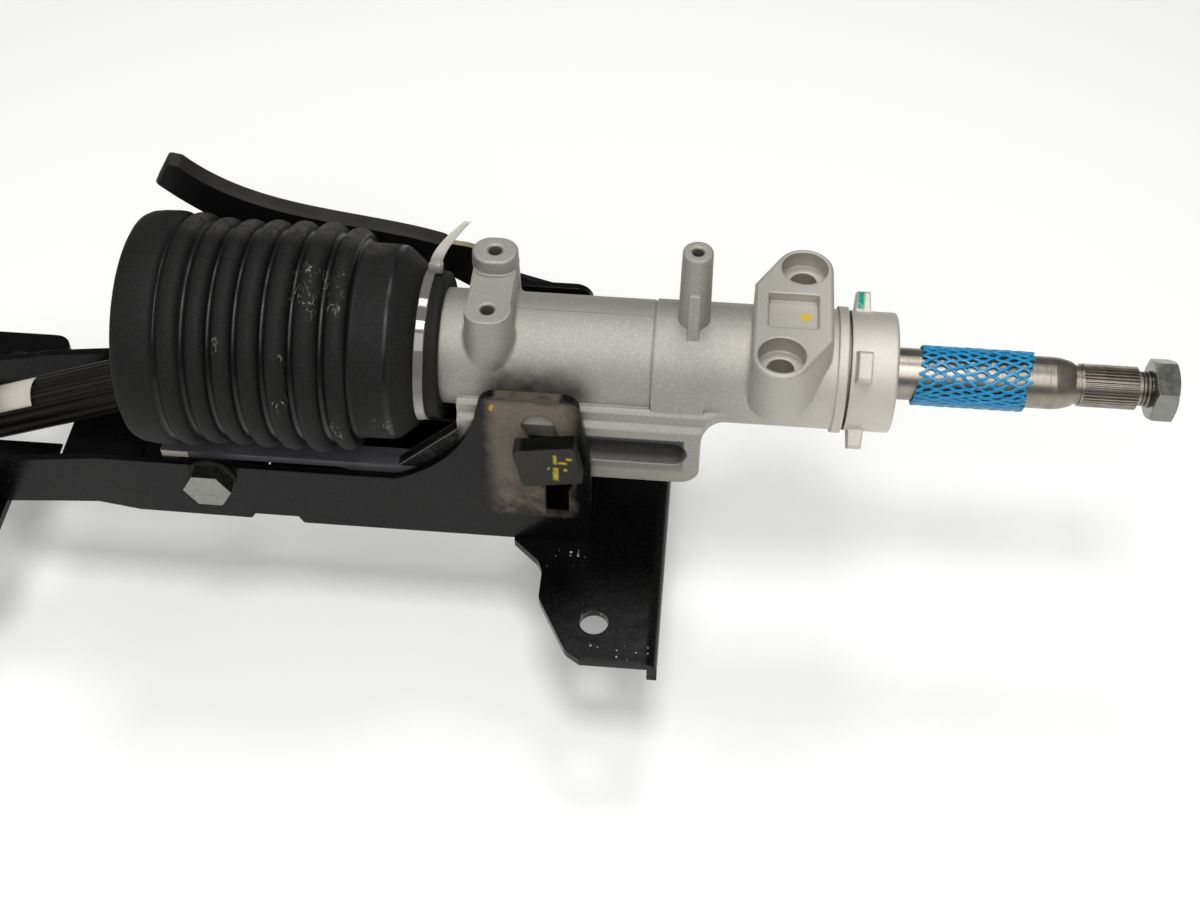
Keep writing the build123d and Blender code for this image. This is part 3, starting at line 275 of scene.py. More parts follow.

# Painted shadow of the near ear on the tube just above it, fading upwards.
ear_shadow_noise = add(tree, "ShaderNodeTexNoise", {"Vector": place, "Scale": per_mm(6.0), "Detail": 5.0})
ear_shadow_thin = add(tree, "ShaderNodeMapRange", {
    "Value": ear_shadow_noise.outputs[0],
    1: 0.30,
    2: 0.70,
    3: 0.15,
    4: 0.65,
})
ear_shadow = near(tree, place, (-0.2050, -0.0290, 0.0035), (0.0135, 0.0100, 0.0010), 0.0105)
ear_shadow_shown = add(tree, "ShaderNodeMath", {
    0: ear_shadow,
    1: ear_shadow_thin.outputs[0],
}, operation="MULTIPLY").outputs[0]

# The clamp slot is painted dark blue-grey, painted shade that is darkest under its upper edge.
slot_area = near(tree, place, (-0.1720, 0.0, -0.0260), (0.0228, 0.0284, 0.0085), 0.0010)
slot_shade = add(tree, "ShaderNodeMapRange", {
    "Value": cast_axes.outputs[2],
    1: -0.0330,
    2: -0.0190,
    3: 0.30,
    4: 0.90,
})
slot_painted_shade = add(tree, "ShaderNodeMath", {
    0: slot_area,
    1: slot_shade.outputs[0],
}, operation="MULTIPLY").outputs[0]

# The gusset behind the near ear is painted near black, painted shade, with its edges left lighter as a
# painted highlight.
gusset_shade_area = near(tree, place, (-0.2538, -0.0270, -0.0365), (0.0172, 0.0160, 0.0185), 0.0045)
gusset_shade_fine = add(tree, "ShaderNodeTexNoise", {"Vector": place, "Scale": per_mm(2.2), "Detail": 5.0})
gusset_shade_thin = add(tree, "ShaderNodeMapRange", {
    "Value": gusset_shade_fine.outputs[0],
    1: 0.2,
    2: 0.5,
    3: 0.80,
    4: 0.97,
})
away_from_edge = add(tree, "ShaderNodeMath", {
    0: 1.0,
    1: edge_mask.outputs[0],
}, operation="SUBTRACT").outputs[0]
gusset_shade = add(tree, "ShaderNodeMath", {
    0: gusset_shade_area,
    1: gusset_shade_thin.outputs[0],
}, operation="MULTIPLY").outputs[0]
gusset_shade_kept = add(tree, "ShaderNodeMapRange", {"Value": away_from_edge, 3: 0.62, 4: 1.0}).outputs[0]
gusset_shade = add(tree, "ShaderNodeMath", {0: gusset_shade, 1: gusset_shade_kept}, operation="MULTIPLY").outputs[0]

# Paint marks from assembly: a yellow dot in the window and a green one on
# the top lug.
daub_noise = add(tree, "ShaderNodeTexNoise", {"Vector": place, "Scale": per_mm(1.6), "Detail": 3.0})
daub_edge = add(tree, "ShaderNodeMapRange", {"Value": daub_noise.outputs[0], 1: 0.22, 2: 0.40})
daubs = (
    ((-0.1065, 0.0008, 0.0263), (0.0009, 0.0009, 0.0030), 0.0018, "E0C32A"),
    ((-0.0852, 0.0168, 0.0208), (0.0007, 0.0022, 0.0026), 0.0012, "248F79"),
)

# The layers lie on the bare casting in this order.
cast_layers = [
    (facet_glint.outputs[0], "E6E4DF"),
    (painted_light_wheel_end, "DEDACF"),
    (worn_edge, "DAD7D1"),
    (corner_painted_shade.outputs[0], "4E4B46"),
    (part_shown, "6F6C66"),
    (ear_shadow_shown, "24221F"),
    (slot_painted_shade, "3C3E45"),
    (gusset_shade, "191A1C"),
]
for centre, half_size, feather, daub_hex in daubs:
    daub = near(tree, place, centre, half_size, feather)
    daub_shown = add(tree, "ShaderNodeMath", {0: daub, 1: daub_edge.outputs[0]}, operation="MULTIPLY")
    cast_layers.append((daub_shown.outputs[0], daub_hex))
for layer, layer_hex in cast_layers:
    cast_colour = add(tree, "ShaderNodeMix", {
        "Factor": layer,
        "A": cast_colour,
        "B": linear(layer_hex),
    }, data_type="RGBA").outputs["Result"]
cast_rough = add(tree, "ShaderNodeMapRange", {"Value": facet_glint.outputs[0], 3: 0.64, 4: 0.45})
cast_relief = add(tree, "ShaderNodeBump", {
    "Strength": 0.6,
    "Distance": 0.0003,
    "Height": grain.outputs[0],
    "Normal": soft_edge.outputs[0],
})
shader = add(tree, "ShaderNodeBsdfPrincipled", {
    "Base Color": cast_colour,
    "Metallic": 1.0,
    "Roughness": cast_rough.outputs[0],
    "Normal": cast_relief.outputs[0],
})
add(tree, "ShaderNodeOutputMaterial", {"Surface": shader.outputs[0]})
dress(cast, "housing", "switch_ring")

# Bracket: pressed steel with a gloss black dip paint, which reflects the
# room softly and shows dust, chips and spatter. The near ear is rubbed
# through to the tan phosphate where the clamp's head block slides on it.
black, tree, place = new_finish("gloss_black_dip_paint")
dust = add(tree, "ShaderNodeTexNoise", {
    "Vector": place,
    "Scale": per_mm(1.6),
    "Detail": 6.0,
    "Roughness": 0.8,
})
dust_mask = add(tree, "ShaderNodeMapRange", {"Value": dust.outputs[0], 1: 0.58, 2: 0.80, 3: 0.0, 4: 0.30})
wave = add(tree, "ShaderNodeTexNoise", {"Vector": place, "Scale": per_mm(9.0), "Detail": 2.0})
paint = add(tree, "ShaderNodeMix", {
    "Factor": dust_mask.outputs[0],
    "A": linear("060606"),
    "B": linear("2C2A27"),
}, data_type="RGBA").outputs["Result"]

# Rubbed tan face of the ear, with a soft border, paler towards the top edge as a
# painted highlight, and mottled with red-brown grime low down. Its right strip stays black.
rub_noise = add(tree, "ShaderNodeTexNoise", {
    "Vector": place,
    "Scale": per_mm(7.0),
    "Detail": 6.0,
    "Roughness": 0.6,
})
wander = add(tree, "ShaderNodeVectorMath", {
    0: rub_noise.outputs["Color"],
    1: (0.5, 0.5, 0.5),
}, operation="SUBTRACT")
wander_mm = add(tree, "ShaderNodeVectorMath", {0: wander.outputs[0], "Scale": 0.006}, operation="SCALE")
strayed = add(tree, "ShaderNodeVectorMath", {0: place, 1: wander_mm.outputs[0]}).outputs[0]
rub_face = near(tree, strayed, (-0.2075, -0.0330, -0.0290), (0.0130, 0.0050, 0.0310), 0.0055)
rub_top = near(tree, strayed, (-0.2080, -0.0310, 0.0062), (0.0115, 0.0060, 0.0008), 0.0016)
rub_top_part = add(tree, "ShaderNodeMath", {0: rub_top, 1: 0.45}, operation="MULTIPLY").outputs[0]
height = add(tree, "ShaderNodeSeparateXYZ", {"Vector": place}).outputs[2]
rub_below = add(tree, "ShaderNodeMapRange", {"Value": height, 1: 0.0055, 2: 0.0042}).outputs[0]
rub_front = add(tree, "ShaderNodeMath", {0: rub_face, 1: rub_below}, operation="MULTIPLY").outputs[0]
rubbed = add(tree, "ShaderNodeMath", {0: rub_front, 1: rub_top_part}, operation="MAXIMUM").outputs[0]
rub_grain = add(tree, "ShaderNodeTexNoise", {
    "Vector": place,
    "Scale": per_mm(1.1),
    "Detail": 5.0,
    "Roughness": 0.8,
})
tan = add(tree, "ShaderNodeMix", {
    "Factor": rub_grain.outputs[0],
    "A": linear("38332F"),
    "B": linear("7E756A"),
}, data_type="RGBA").outputs["Result"]
# Paler towards the top edge: painted highlight.
ear_top_highlight = add(tree, "ShaderNodeMapRange", {"Value": height, 1: -0.012, 2: 0.006, 3: 0.0, 4: 0.20})
tan = add(tree, "ShaderNodeMix", {
    "Factor": ear_top_highlight.outputs[0],
    "A": tan,
    "B": linear("857A6C"),
}, data_type="RGBA").outputs["Result"]
grime_low = add(tree, "ShaderNodeMapRange", {"Value": height, 1: -0.030, 2: -0.062, 3: 0.0, 4: 0.85})
grime_spot = add(tree, "ShaderNodeMapRange", {"Value": rub_noise.outputs[0], 1: 0.38, 2: 0.58})
grime_shown = add(tree, "ShaderNodeMath", {
    0: grime_low.outputs[0],
    1: grime_spot.outputs[0],
}, operation="MULTIPLY")
tan = add(tree, "ShaderNodeMix", {
    "Factor": grime_shown.outputs[0],
    "A": tan,
    "B": linear("261B19"),
}, data_type="RGBA").outputs["Result"]
paint = add(tree, "ShaderNodeMix", {
    "Factor": rubbed,
    "A": paint,
    "B": tan,
}, data_type="RGBA").outputs["Result"]
yellow_nick = near(tree, strayed, (-0.2220, -0.0310, 0.0000), (0.0004, 0.0020, 0.0018), 0.0008)

# A few bright specks by the ear's foot, round the near hole and at the lip.
drops = add(tree, "ShaderNodeTexVoronoi", {"Vector": place, "Scale": per_mm(1.5)})
drop_pick = add(tree, "ShaderNodeSeparateColor", {"Color": drops.outputs["Color"]})
drop_size = add(tree, "ShaderNodeMapRange", {
    "Value": drop_pick.outputs[0],
    1: 0.66,
    2: 1.0,
    3: 0.0,
    4: 0.40,
})
drop_core = add(tree, "ShaderNodeMath", {
    0: drops.outputs["Distance"],
    1: drop_size.outputs[0],
}, operation="LESS_THAN")
foot_area = near(tree, strayed, (-0.1950, -0.0390, -0.0800), (0.0050, 0.0020, 0.0030), 0.0050)
lip_area = near(tree, place, (-0.1690, -0.0835, -0.0800), (0.0110, 0.0016, 0.0040), 0.0030)
hole_area = near(tree, place, (-0.1797, -0.0700, -0.0800), (0.0050, 0.0050, 0.0030), 0.0016)
drop_area = add(tree, "ShaderNodeMath", {0: foot_area, 1: lip_area}, operation="MAXIMUM").outputs[0]
drop_area = add(tree, "ShaderNodeMath", {0: drop_area, 1: hole_area}, operation="MAXIMUM").outputs[0]
drop_seen = add(tree, "ShaderNodeMath", {
    0: drop_area,
    1: drop_pick.outputs[1],
}, operation="MULTIPLY").outputs[0]
spatter = add(tree, "ShaderNodeMath", {
    0: drop_core.outputs[0],
    1: drop_seen,
}, operation="MULTIPLY").outputs[0]
for layer, layer_hex in ((yellow_nick, "A8873C"), (spatter, "CFCDC7")):
    paint = add(tree, "ShaderNodeMix", {
        "Factor": layer,
        "A": paint,
        "B": linear(layer_hex),
    }, data_type="RGBA").outputs["Result"]
paint_rough = add(tree, "ShaderNodeMapRange", {"Value": dust.outputs[0], 1: 0.3, 2: 0.8, 3: 0.17, 4: 0.40})
rough = add(tree, "ShaderNodeMix", {"Factor": rubbed, "A": paint_rough.outputs[0], "B": 0.62})
paint_edge = add(tree, "ShaderNodeBevel", {"Radius": 0.0008}, samples=4)
relief_height = add(tree, "ShaderNodeMath", {0: wave.outputs[0], 1: spatter}, operation="ADD")
paint_relief = add(tree, "ShaderNodeBump", {
    "Strength": 0.2,
    "Distance": 0.0006,
    "Height": relief_height.outputs[0],
    "Normal": paint_edge.outputs[0],
})
shader = add(tree, "ShaderNodeBsdfPrincipled", {
    "Base Color": paint,
    "Roughness": rough.outputs["Result"],
    "Specular IOR Level": 0.15,
    "Normal": paint_relief.outputs[0],
})
add(tree, "ShaderNodeOutputMaterial", {"Surface": shader.outputs[0]})
dress(black, "bracket_channel", "mounting_plate", "lower_feet")

# Slide rails: dark blue-grey oiled steel, streaked along the slide and
# scratched bright where the gusset's end has rubbed them.
rail_finish, tree, place = new_finish("oiled_blue_black_steel")
streak_space = add(tree, "ShaderNodeMapping", {"Vector": place, "Scale": (1.0, 6.0, 6.0)})
streak = add(tree, "ShaderNodeTexNoise", {
    "Vector": streak_space.outputs[0],
    "Scale": per_mm(12.0),
    "Detail": 6.0,
})
rail_colour = add(tree, "ShaderNodeMix", {
    "Factor": streak.outputs[0],
    "A": linear("57575B"),
    "B": linear("737377"),
}, data_type="RGBA").outputs["Result"]
scratch_space = add(tree, "ShaderNodeMapping", {
    "Vector": place,
    "Rotation": (0.0, 0.5, 0.0),
    "Scale": (1.0, 9.0, 9.0),
})
scratch = add(tree, "ShaderNodeTexNoise", {
    "Vector": scratch_space.outputs[0],
    "Scale": per_mm(7.0),
    "Detail": 3.0,
})
scratch_line = add(tree, "ShaderNodeMapRange", {"Value": scratch.outputs[0], 1: 0.60, 2: 0.68})
scratch_area = near(tree, place, (-0.2480, -0.0270, -0.0440), (0.0080, 0.0030, 0.0060), 0.0040)
scratched = add(tree, "ShaderNodeMath", {
    0: scratch_line.outputs[0],
    1: scratch_area,
}, operation="MULTIPLY").outputs[0]
rail_colour = add(tree, "ShaderNodeMix", {
    "Factor": scratched,
    "A": rail_colour,
    "B": linear("8D9096"),
}, data_type="RGBA").outputs["Result"]
rail_rough = add(tree, "ShaderNodeMapRange", {"Value": streak.outputs[0], 3: 0.30, 4: 0.55})
shader = add(tree, "ShaderNodeBsdfPrincipled", {
    "Base Color": rail_colour,
    "Metallic": 0.4,
    "Roughness": rail_rough.outputs[0],
})
add(tree, "ShaderNodeOutputMaterial", {"Surface": shader.outputs[0]})
dress(rail_finish, "slide_rails")

# Pivot bolt, nuts, clamp washer and rail screws: bright zinc plate over
# rolled and cut steel, cool and slightly cloudy.
zinc, tree, place = new_finish("bright_zinc_plate")
cloud = add(tree, "ShaderNodeTexNoise", {"Vector": place, "Scale": per_mm(3.0), "Detail": 5.0})
zinc_colour = add(tree, "ShaderNodeMix", {
    "Factor": cloud.outputs[0],
    "A": linear("757571"),
    "B": linear("94948E"),
}, data_type="RGBA")
zinc_rough = add(tree, "ShaderNodeMapRange", {"Value": cloud.outputs[0], 3: 0.18, 4: 0.38})
zinc_edge = add(tree, "ShaderNodeBevel", {"Radius": 0.0005}, samples=4)
zinc_relief = add(tree, "ShaderNodeBump", {
    "Strength": 0.12,
    "Distance": 0.0002,
    "Height": cloud.outputs[0],
    "Normal": zinc_edge.outputs[0],
})
shader = add(tree, "ShaderNodeBsdfPrincipled", {
    "Base Color": zinc_colour.outputs["Result"],
    "Metallic": 1.0,
    "Roughness": zinc_rough.outputs[0],
    "Normal": zinc_relief.outputs[0],
})
add(tree, "ShaderNodeOutputMaterial", {"Surface": shader.outputs[0]})
dress(zinc, "wheel_nut", "pivot_bolt", "pivot_nut", "clamp_washer", "clamp_nut", "rail_screws")

# Steering shaft and the turned pieces: bare steel off the lathe, with fine
# rings round the axis. The rings are 0.15 mm apart and drawn at 0.6 mm.
ring_mm = 0.6
turned, tree, place = new_finish("turned_steel")
across = add(tree, "ShaderNodeMapping", {"Vector": place, "Scale": (1.0, 0.05, 0.05)})
rings = add(tree, "ShaderNodeTexNoise", {
    "Vector": across.outputs[0],
    "Scale": per_mm(ring_mm),
    "Detail": 3.0,
})
stain = add(tree, "ShaderNodeTexNoise", {"Vector": place, "Scale": per_mm(7.0), "Detail": 4.0})
turned_colour = add(tree, "ShaderNodeMix", {
    "Factor": stain.outputs[0],
    "A": linear("6B6459"),
    "B": linear("B0ABA0"),
}, data_type="RGBA")
turned_rough = add(tree, "ShaderNodeMapRange", {"Value": rings.outputs[0], 3: 0.22, 4: 0.46})
turned_relief = add(tree, "ShaderNodeBump", {
    "Strength": 0.35,
    "Distance": 0.0001,
    "Height": rings.outputs[0],
})

# The M14 thread behind the nut has a 1.5 mm pitch and oily dark roots.
thread_mm = 1.5
along = add(tree, "ShaderNodeSeparateXYZ", {"Vector": place}).outputs[0]
thread_phase = add(tree, "ShaderNodeMath", {
    0: along,
    1: 2 * math.pi * per_mm(thread_mm),
}, operation="MULTIPLY")
thread_wave = add(tree, "ShaderNodeMath", {0: thread_phase.outputs[0]}, operation="SINE")
thread_area = near(tree, place, (0.0262, 0.0, 0.0), (0.0040, 0.0078, 0.0078), 0.0004)
thread_root = add(tree, "ShaderNodeMapRange", {
    "Value": thread_wave.outputs[0],
    1: 0.4,
    2: -0.6,
    3: 0.25,
    4: 0.95,
})
thread_dark = add(tree, "ShaderNodeMath", {
    0: thread_root.outputs[0],
    1: thread_area,
}, operation="MULTIPLY").outputs[0]
turned_steel = add(tree, "ShaderNodeMix", {
    "Factor": thread_dark,
    "A": turned_colour.outputs["Result"],
    "B": linear("1D1A17"),
}, data_type="RGBA").outputs["Result"]
shader = add(tree, "ShaderNodeBsdfPrincipled", {
    "Base Color": turned_steel,
    "Metallic": 1.0,
    "Roughness": turned_rough.outputs[0],
    "Normal": turned_relief.outputs[0],
})
add(tree, "ShaderNodeOutputMaterial", {"Surface": shader.outputs[0]})
dress(turned, "steering_shaft", "bearing_outer_rings", "bearing_inner_rings", "bearing_balls",
      "pivot_sleeve", "guide_sleeve", "upper_yoke_cups", "intermediate_cups", "inner_shaft_cups",
      "clamp_yoke_cups")

# Forks, crosses, inner shaft, clamp bolt, fixed cam, pivot washers and
# circlip: dark phosphated steel, dry and slightly crystalline.
phosphate, tree, place = new_finish("phosphated_steel")
crystal = add(tree, "ShaderNodeTexNoise", {
    "Vector": place,
    "Scale": per_mm(0.8),
    "Detail": 4.0,
    "Roughness": 0.7,
})
phosphate_colour = add(tree, "ShaderNodeMix", {
    "Factor": crystal.outputs[0],
    "A": linear("232220"),
    "B": linear("3B3A36"),
}, data_type="RGBA")
phosphate_edge = add(tree, "ShaderNodeBevel", {"Radius": 0.0008}, samples=4)
phosphate_relief = add(tree, "ShaderNodeBump", {
    "Strength": 0.3,
    "Distance": 0.0002,
    "Height": crystal.outputs[0],
    "Normal": phosphate_edge.outputs[0],
})

# Yellow inspection strokes on the outer face of the clamp bolt's head block.
strokes = (
    ((-0.1972, -0.0378, -0.0285), (0.0006, 0.0010, 0.0034)),
    ((-0.1973, -0.0378, -0.0200), (0.0001, 0.0010, 0.0022)),
    ((-0.1945, -0.0378, -0.0218), (0.0013, 0.0010, 0.0002)),
    ((-0.1920, -0.0378, -0.0193), (0.0007, 0.0010, 0.0003)),
    ((-0.2000, -0.0378, -0.0255), (0.0001, 0.0010, 0.0002)),
    ((-0.1934, -0.0378, -0.0258), (0.0002, 0.0010, 0.0004)),
)
crayon_noise = add(tree, "ShaderNodeTexNoise", {
    "Vector": place,
    "Scale": per_mm(2.6),
    "Detail": 6.0,
    "Roughness": 0.7,
})
crayon_edge = add(tree, "ShaderNodeMapRange", {"Value": crayon_noise.outputs[0], 1: 0.34, 2: 0.50})
crayon_stray = add(tree, "ShaderNodeVectorMath", {
    0: crayon_noise.outputs["Color"],
    1: (0.5, 0.5, 0.5),
}, operation="SUBTRACT")
crayon_mm = add(tree, "ShaderNodeVectorMath", {
    0: crayon_stray.outputs[0],
    "Scale": 0.002,
}, operation="SCALE")
strayed = add(tree, "ShaderNodeVectorMath", {0: place, 1: crayon_mm.outputs[0]}).outputs[0]
crayon_area = 0.0
for centre, half_size in strokes:
    stroke = near(tree, strayed, centre, half_size, 0.0008)
    crayon_area = add(tree, "ShaderNodeMath", {0: crayon_area, 1: stroke}, operation="MAXIMUM").outputs[0]
crayon = add(tree, "ShaderNodeMath", {
    0: crayon_area,
    1: crayon_edge.outputs[0],
}, operation="MULTIPLY").outputs[0]
block_area = near(tree, place, (-0.1980, -0.0330, -0.0210), (0.0120, 0.0070, 0.0150), 0.0020)
block_facing = add(tree, "ShaderNodeNewGeometry")
block_up = add(tree, "ShaderNodeSeparateXYZ", {"Vector": block_facing.outputs["Normal"]}).outputs[2]
oily_top = add(tree, "ShaderNodeMapRange", {"Value": block_up, 1: 0.4, 2: 0.8}).outputs[0]
oily = add(tree, "ShaderNodeMath", {0: oily_top, 1: block_area}, operation="MULTIPLY").outputs[0]
oiled_phosphate = add(tree, "ShaderNodeMix", {
    "Factor": oily,
    "A": phosphate_colour.outputs["Result"],
    "B": linear("070706"),
}, data_type="RGBA").outputs["Result"]
marked_phosphate = add(tree, "ShaderNodeMix", {
    "Factor": crayon,
    "A": oiled_phosphate,
    "B": linear("B9A62E"),
}, data_type="RGBA").outputs["Result"]
shader = add(tree, "ShaderNodeBsdfPrincipled", {
    "Base Color": marked_phosphate,
    "Metallic": 0.4,
    "Roughness": 0.6,
    "Specular IOR Level": 0.25,
    "Normal": phosphate_relief.outputs[0],
})
add(tree, "ShaderNodeOutputMaterial", {"Surface": shader.outputs[0]})
dress(phosphate, "clamp_bolt", "pivot_washers", "fixed_cam", "front_circlip", "upper_yoke",
      "intermediate_yoke", "upper_cross", "inner_shaft", "lower_cross", "clamp_yoke")

# Slide blocks: black moulded acetal, waxy and faintly mottled by its flow.
# They sit on the pivot bolt, either side of its sleeve, in the rails' slots.
acetal, tree, place = new_finish("black_acetal_moulded")
flow = add(tree, "ShaderNodeTexNoise", {"Vector": place, "Scale": per_mm(6.0), "Detail": 3.0})
acetal_colour = add(tree, "ShaderNodeMix", {
    "Factor": flow.outputs[0],
    "A": linear("161616"),
    "B": linear("20201F"),
}, data_type="RGBA")
shader = add(tree, "ShaderNodeBsdfPrincipled", {
    "Base Color": acetal_colour.outputs["Result"],
    "Roughness": 0.45,
    "Specular IOR Level": 0.30,
})
add(tree, "ShaderNodeOutputMaterial", {"Surface": shader.outputs[0]})
dress(acetal, "slide_blocks")

# Intermediate tube: fluted steel with a black nylon coat, satin, with dust
# lying in the flutes.
coat, tree, place = new_finish("black_nylon_coat")
coat_dust = add(tree, "ShaderNodeTexNoise", {
    "Vector": place,
    "Scale": per_mm(4.0),
    "Detail": 6.0,
    "Roughness": 0.7,
})
coat_colour = add(tree, "ShaderNodeMix", {
    "Factor": coat_dust.outputs[0],
    "A": linear("0C0B0A"),
    "B": linear("1C1A17"),
}, data_type="RGBA")
shader = add(tree, "ShaderNodeBsdfPrincipled", {
    "Base Color": coat_colour.outputs["Result"],
    "Roughness": 0.42,
    "Specular IOR Level": 0.16,
})
add(tree, "ShaderNodeOutputMaterial", {"Surface": shader.outputs[0]})
dress(coat, "intermediate_tube")

# Clamp lever plate and its cam: pale yellow zinc on the upward faces along the
# upper edge, and drawn near black on the other faces.
yellow_zinc, tree, place = new_finish("yellow_zinc_dark_faces")
mottle = add(tree, "ShaderNodeTexNoise", {"Vector": place, "Scale": per_mm(5.0), "Detail": 5.0})
yellow_colour = add(tree, "ShaderNodeMix", {
    "Factor": mottle.outputs[0],
    "A": linear("A9A07C"),
    "B": linear("D6D0B0"),
}, data_type="RGBA").outputs["Result"]
plate_facing = add(tree, "ShaderNodeNewGeometry")
plate_up = add(tree, "ShaderNodeSeparateXYZ", {"Vector": plate_facing.outputs["Normal"]}).outputs[2]
edge_up = add(tree, "ShaderNodeMapRange", {"Value": plate_up, 1: 0.35, 2: 0.60}).outputs[0]
edge_run = near(tree, place, (-0.2500, 0.0500, 0.0), (0.0200, 0.0500, 0.1), 0.0020)
yellow_upward_faces = add(tree, "ShaderNodeMath", {0: edge_up, 1: edge_run}, operation="MULTIPLY").outputs[0]
lever_colour = add(tree, "ShaderNodeMix", {
    "Factor": yellow_upward_faces,
    "A": linear("0A0A0A"),
    "B": yellow_colour,
}, data_type="RGBA").outputs["Result"]
shader = add(tree, "ShaderNodeBsdfPrincipled", {
    "Base Color": lever_colour,
    "Metallic": yellow_upward_faces,
    "Roughness": 0.36,
    "Specular IOR Level": 0.30,
})
add(tree, "ShaderNodeOutputMaterial", {"Surface": shader.outputs[0]})
dress(yellow_zinc, "lever_plate", "moving_cam")

# Lever grip: black moulded nylon with a fine spark-eroded grain, greyed on top
# by dust. The real grain is finer and is drawn at 0.8 mm so that it shows.
grip_grain_mm = 0.8
grip_nylon, tree, place = new_finish("black_nylon_moulded")
erosion = add(tree, "ShaderNodeTexNoise", {"Vector": place, "Scale": per_mm(grip_grain_mm), "Detail": 2.0})
settled = add(tree, "ShaderNodeTexNoise", {
    "Vector": place,
    "Scale": per_mm(14.0),
    "Detail": 6.0,
    "Roughness": 0.65,
})
facing = add(tree, "ShaderNodeNewGeometry")
facing_axes = add(tree, "ShaderNodeSeparateXYZ", {"Vector": facing.outputs["Normal"]})
upward = add(tree, "ShaderNodeMapRange", {"Value": facing_axes.outputs[2], 1: 0.2, 2: 1.0, 3: 0.0, 4: 0.8})
grip_dust = add(tree, "ShaderNodeMath", {0: upward.outputs[0], 1: settled.outputs[0]}, operation="MULTIPLY")
grip_colour = add(tree, "ShaderNodeMix", {
    "Factor": grip_dust.outputs[0],
    "A": linear("0D0C0C"),
    "B": linear("3B3935"),
}, data_type="RGBA")
grip_relief = add(tree, "ShaderNodeBump", {
    "Strength": 0.3,
    "Distance": 0.0002,
    "Height": erosion.outputs[0],
})
shader = add(tree, "ShaderNodeBsdfPrincipled", {
    "Base Color": grip_colour.outputs["Result"],
    "Roughness": 0.5,
    "Specular IOR Level": 0.20,
    "Normal": grip_relief.outputs[0],
})
add(tree, "ShaderNodeOutputMaterial", {"Surface": shader.outputs[0]})
dress(grip_nylon, "lever_grip")

# Bellows: one moulded rubber piece with a wide mouth, seven round ridges and
# a smooth shoulder that tapers to the tied neck. Dry dusty rubber on the
# ridges and clean glossy rubber in the valleys, with mould parting lines.
boot_x0 = -0.3613
boot_lip_x = -0.2424
shoulder_x = -0.2602
valleys_x = (-0.3446, -0.3348, -0.3252, -0.3156, -0.3053, -0.2947, -0.2835, -0.2730)
valleys_r = (0.0438, 0.0414, 0.0402, 0.0402, 0.0402, 0.0402, 0.0400, 0.0379)
crests_r = (0.0456, 0.0442, 0.0441, 0.0444, 0.0446, 0.0448, 0.0432)
fillet = 0.0013
fillet_drop = 0.0001
crest_foot = 0.0004
crest_fullness = 0.85
ridge_steps = 14
boot_turns = 224
outer_line = [
    (boot_x0 + 0.0004, 0.0418),
    (boot_x0, 0.0428),
    (boot_x0 + 0.0008, 0.0441),
    (boot_x0 + 0.0030, 0.0451),
    (boot_x0 + 0.0070, 0.0456),
    (boot_x0 + 0.0120, 0.0458),
    (boot_x0 + 0.0142, 0.0456),
    (boot_x0 + 0.0156, 0.0449),
]
for ridge, crest_r in enumerate(crests_r):
    start, end = valleys_x[ridge], valleys_x[ridge + 1]
    middle, half = (start + end) / 2, (end - start) / 2 - fillet
    outer_line += [(start - fillet / 2, valleys_r[ridge] + fillet_drop), (start, valleys_r[ridge]),
                   (start + fillet / 2, valleys_r[ridge] + fillet_drop)]
    valley_rise = valleys_r[ridge + 1] - valleys_r[ridge]
    for step in range(ridge_steps + 1):
        turn = math.pi * step / ridge_steps
        foot_r = valleys_r[ridge] + valley_rise * step / ridge_steps + crest_foot
        rise = (crest_r - foot_r) * math.sin(turn) ** crest_fullness
        outer_line.append((middle - half * math.cos(turn), foot_r + rise))
outer_line += [
    (valleys_x[-1] + 0.0002, 0.0381),
    (valleys_x[-1] + 0.0012, 0.0379),
    (valleys_x[-1] + 0.0040, 0.0379),
    (-0.2640, 0.0378),
    (-0.2615, 0.0377),
    (shoulder_x, 0.0375),
    (-0.2592, 0.0371),
    (-0.2582, 0.0364),
    (-0.2560, 0.0346),
    (-0.2535, 0.0324),
    (-0.2524, 0.0312),
    (-0.2518, 0.0296),
    (-0.2512, 0.0287),
    (-0.2500, 0.0284),
    (-0.2462, 0.0284),
    (-0.2450, 0.0286),
    (-0.2436, 0.0285),
    (-0.2428, 0.0281),
    (boot_lip_x, 0.0273),
    (boot_lip_x, 0.0252),
]
inner_line = [
    (boot_lip_x - 0.0004, 0.0228),
    (-0.2540, 0.0229),
    (-0.2580, 0.0340),
    (-0.2630, 0.0350),
    (valleys_x[-1], 0.0353),
    (valleys_x[2], 0.0376),
    (valleys_x[0], 0.0405),
    (boot_x0 + 0.004, 0.0430),
]
boot_line = outer_line + inner_line
rubber, tree, place = new_finish("dry_black_rubber_moulded")
place_axes = add(tree, "ShaderNodeSeparateXYZ", {"Vector": place})
side_square = add(tree, "ShaderNodeMath", {
    0: place_axes.outputs[1],
    1: place_axes.outputs[1],
}, operation="MULTIPLY")
radius_square = add(tree, "ShaderNodeMath", {
    0: place_axes.outputs[2],
    1: place_axes.outputs[2],
    2: side_square.outputs[0],
}, operation="MULTIPLY_ADD")
radius = add(tree, "ShaderNodeMath", {0: radius_square.outputs[0]}, operation="SQRT").outputs[0]
ridges_only = add(tree, "ShaderNodeMapRange", {
    "Value": place_axes.outputs[0],
    1: -0.2745,
    2: -0.2725,
    3: 1.0,
    4: 0.0,
})
valley_depth = add(tree, "ShaderNodeMapRange", {"Value": radius, 1: 0.0422, 2: 0.0404})
in_valley = add(tree, "ShaderNodeMath", {
    0: ridges_only.outputs[0],
    1: valley_depth.outputs[0],
}, operation="MULTIPLY")
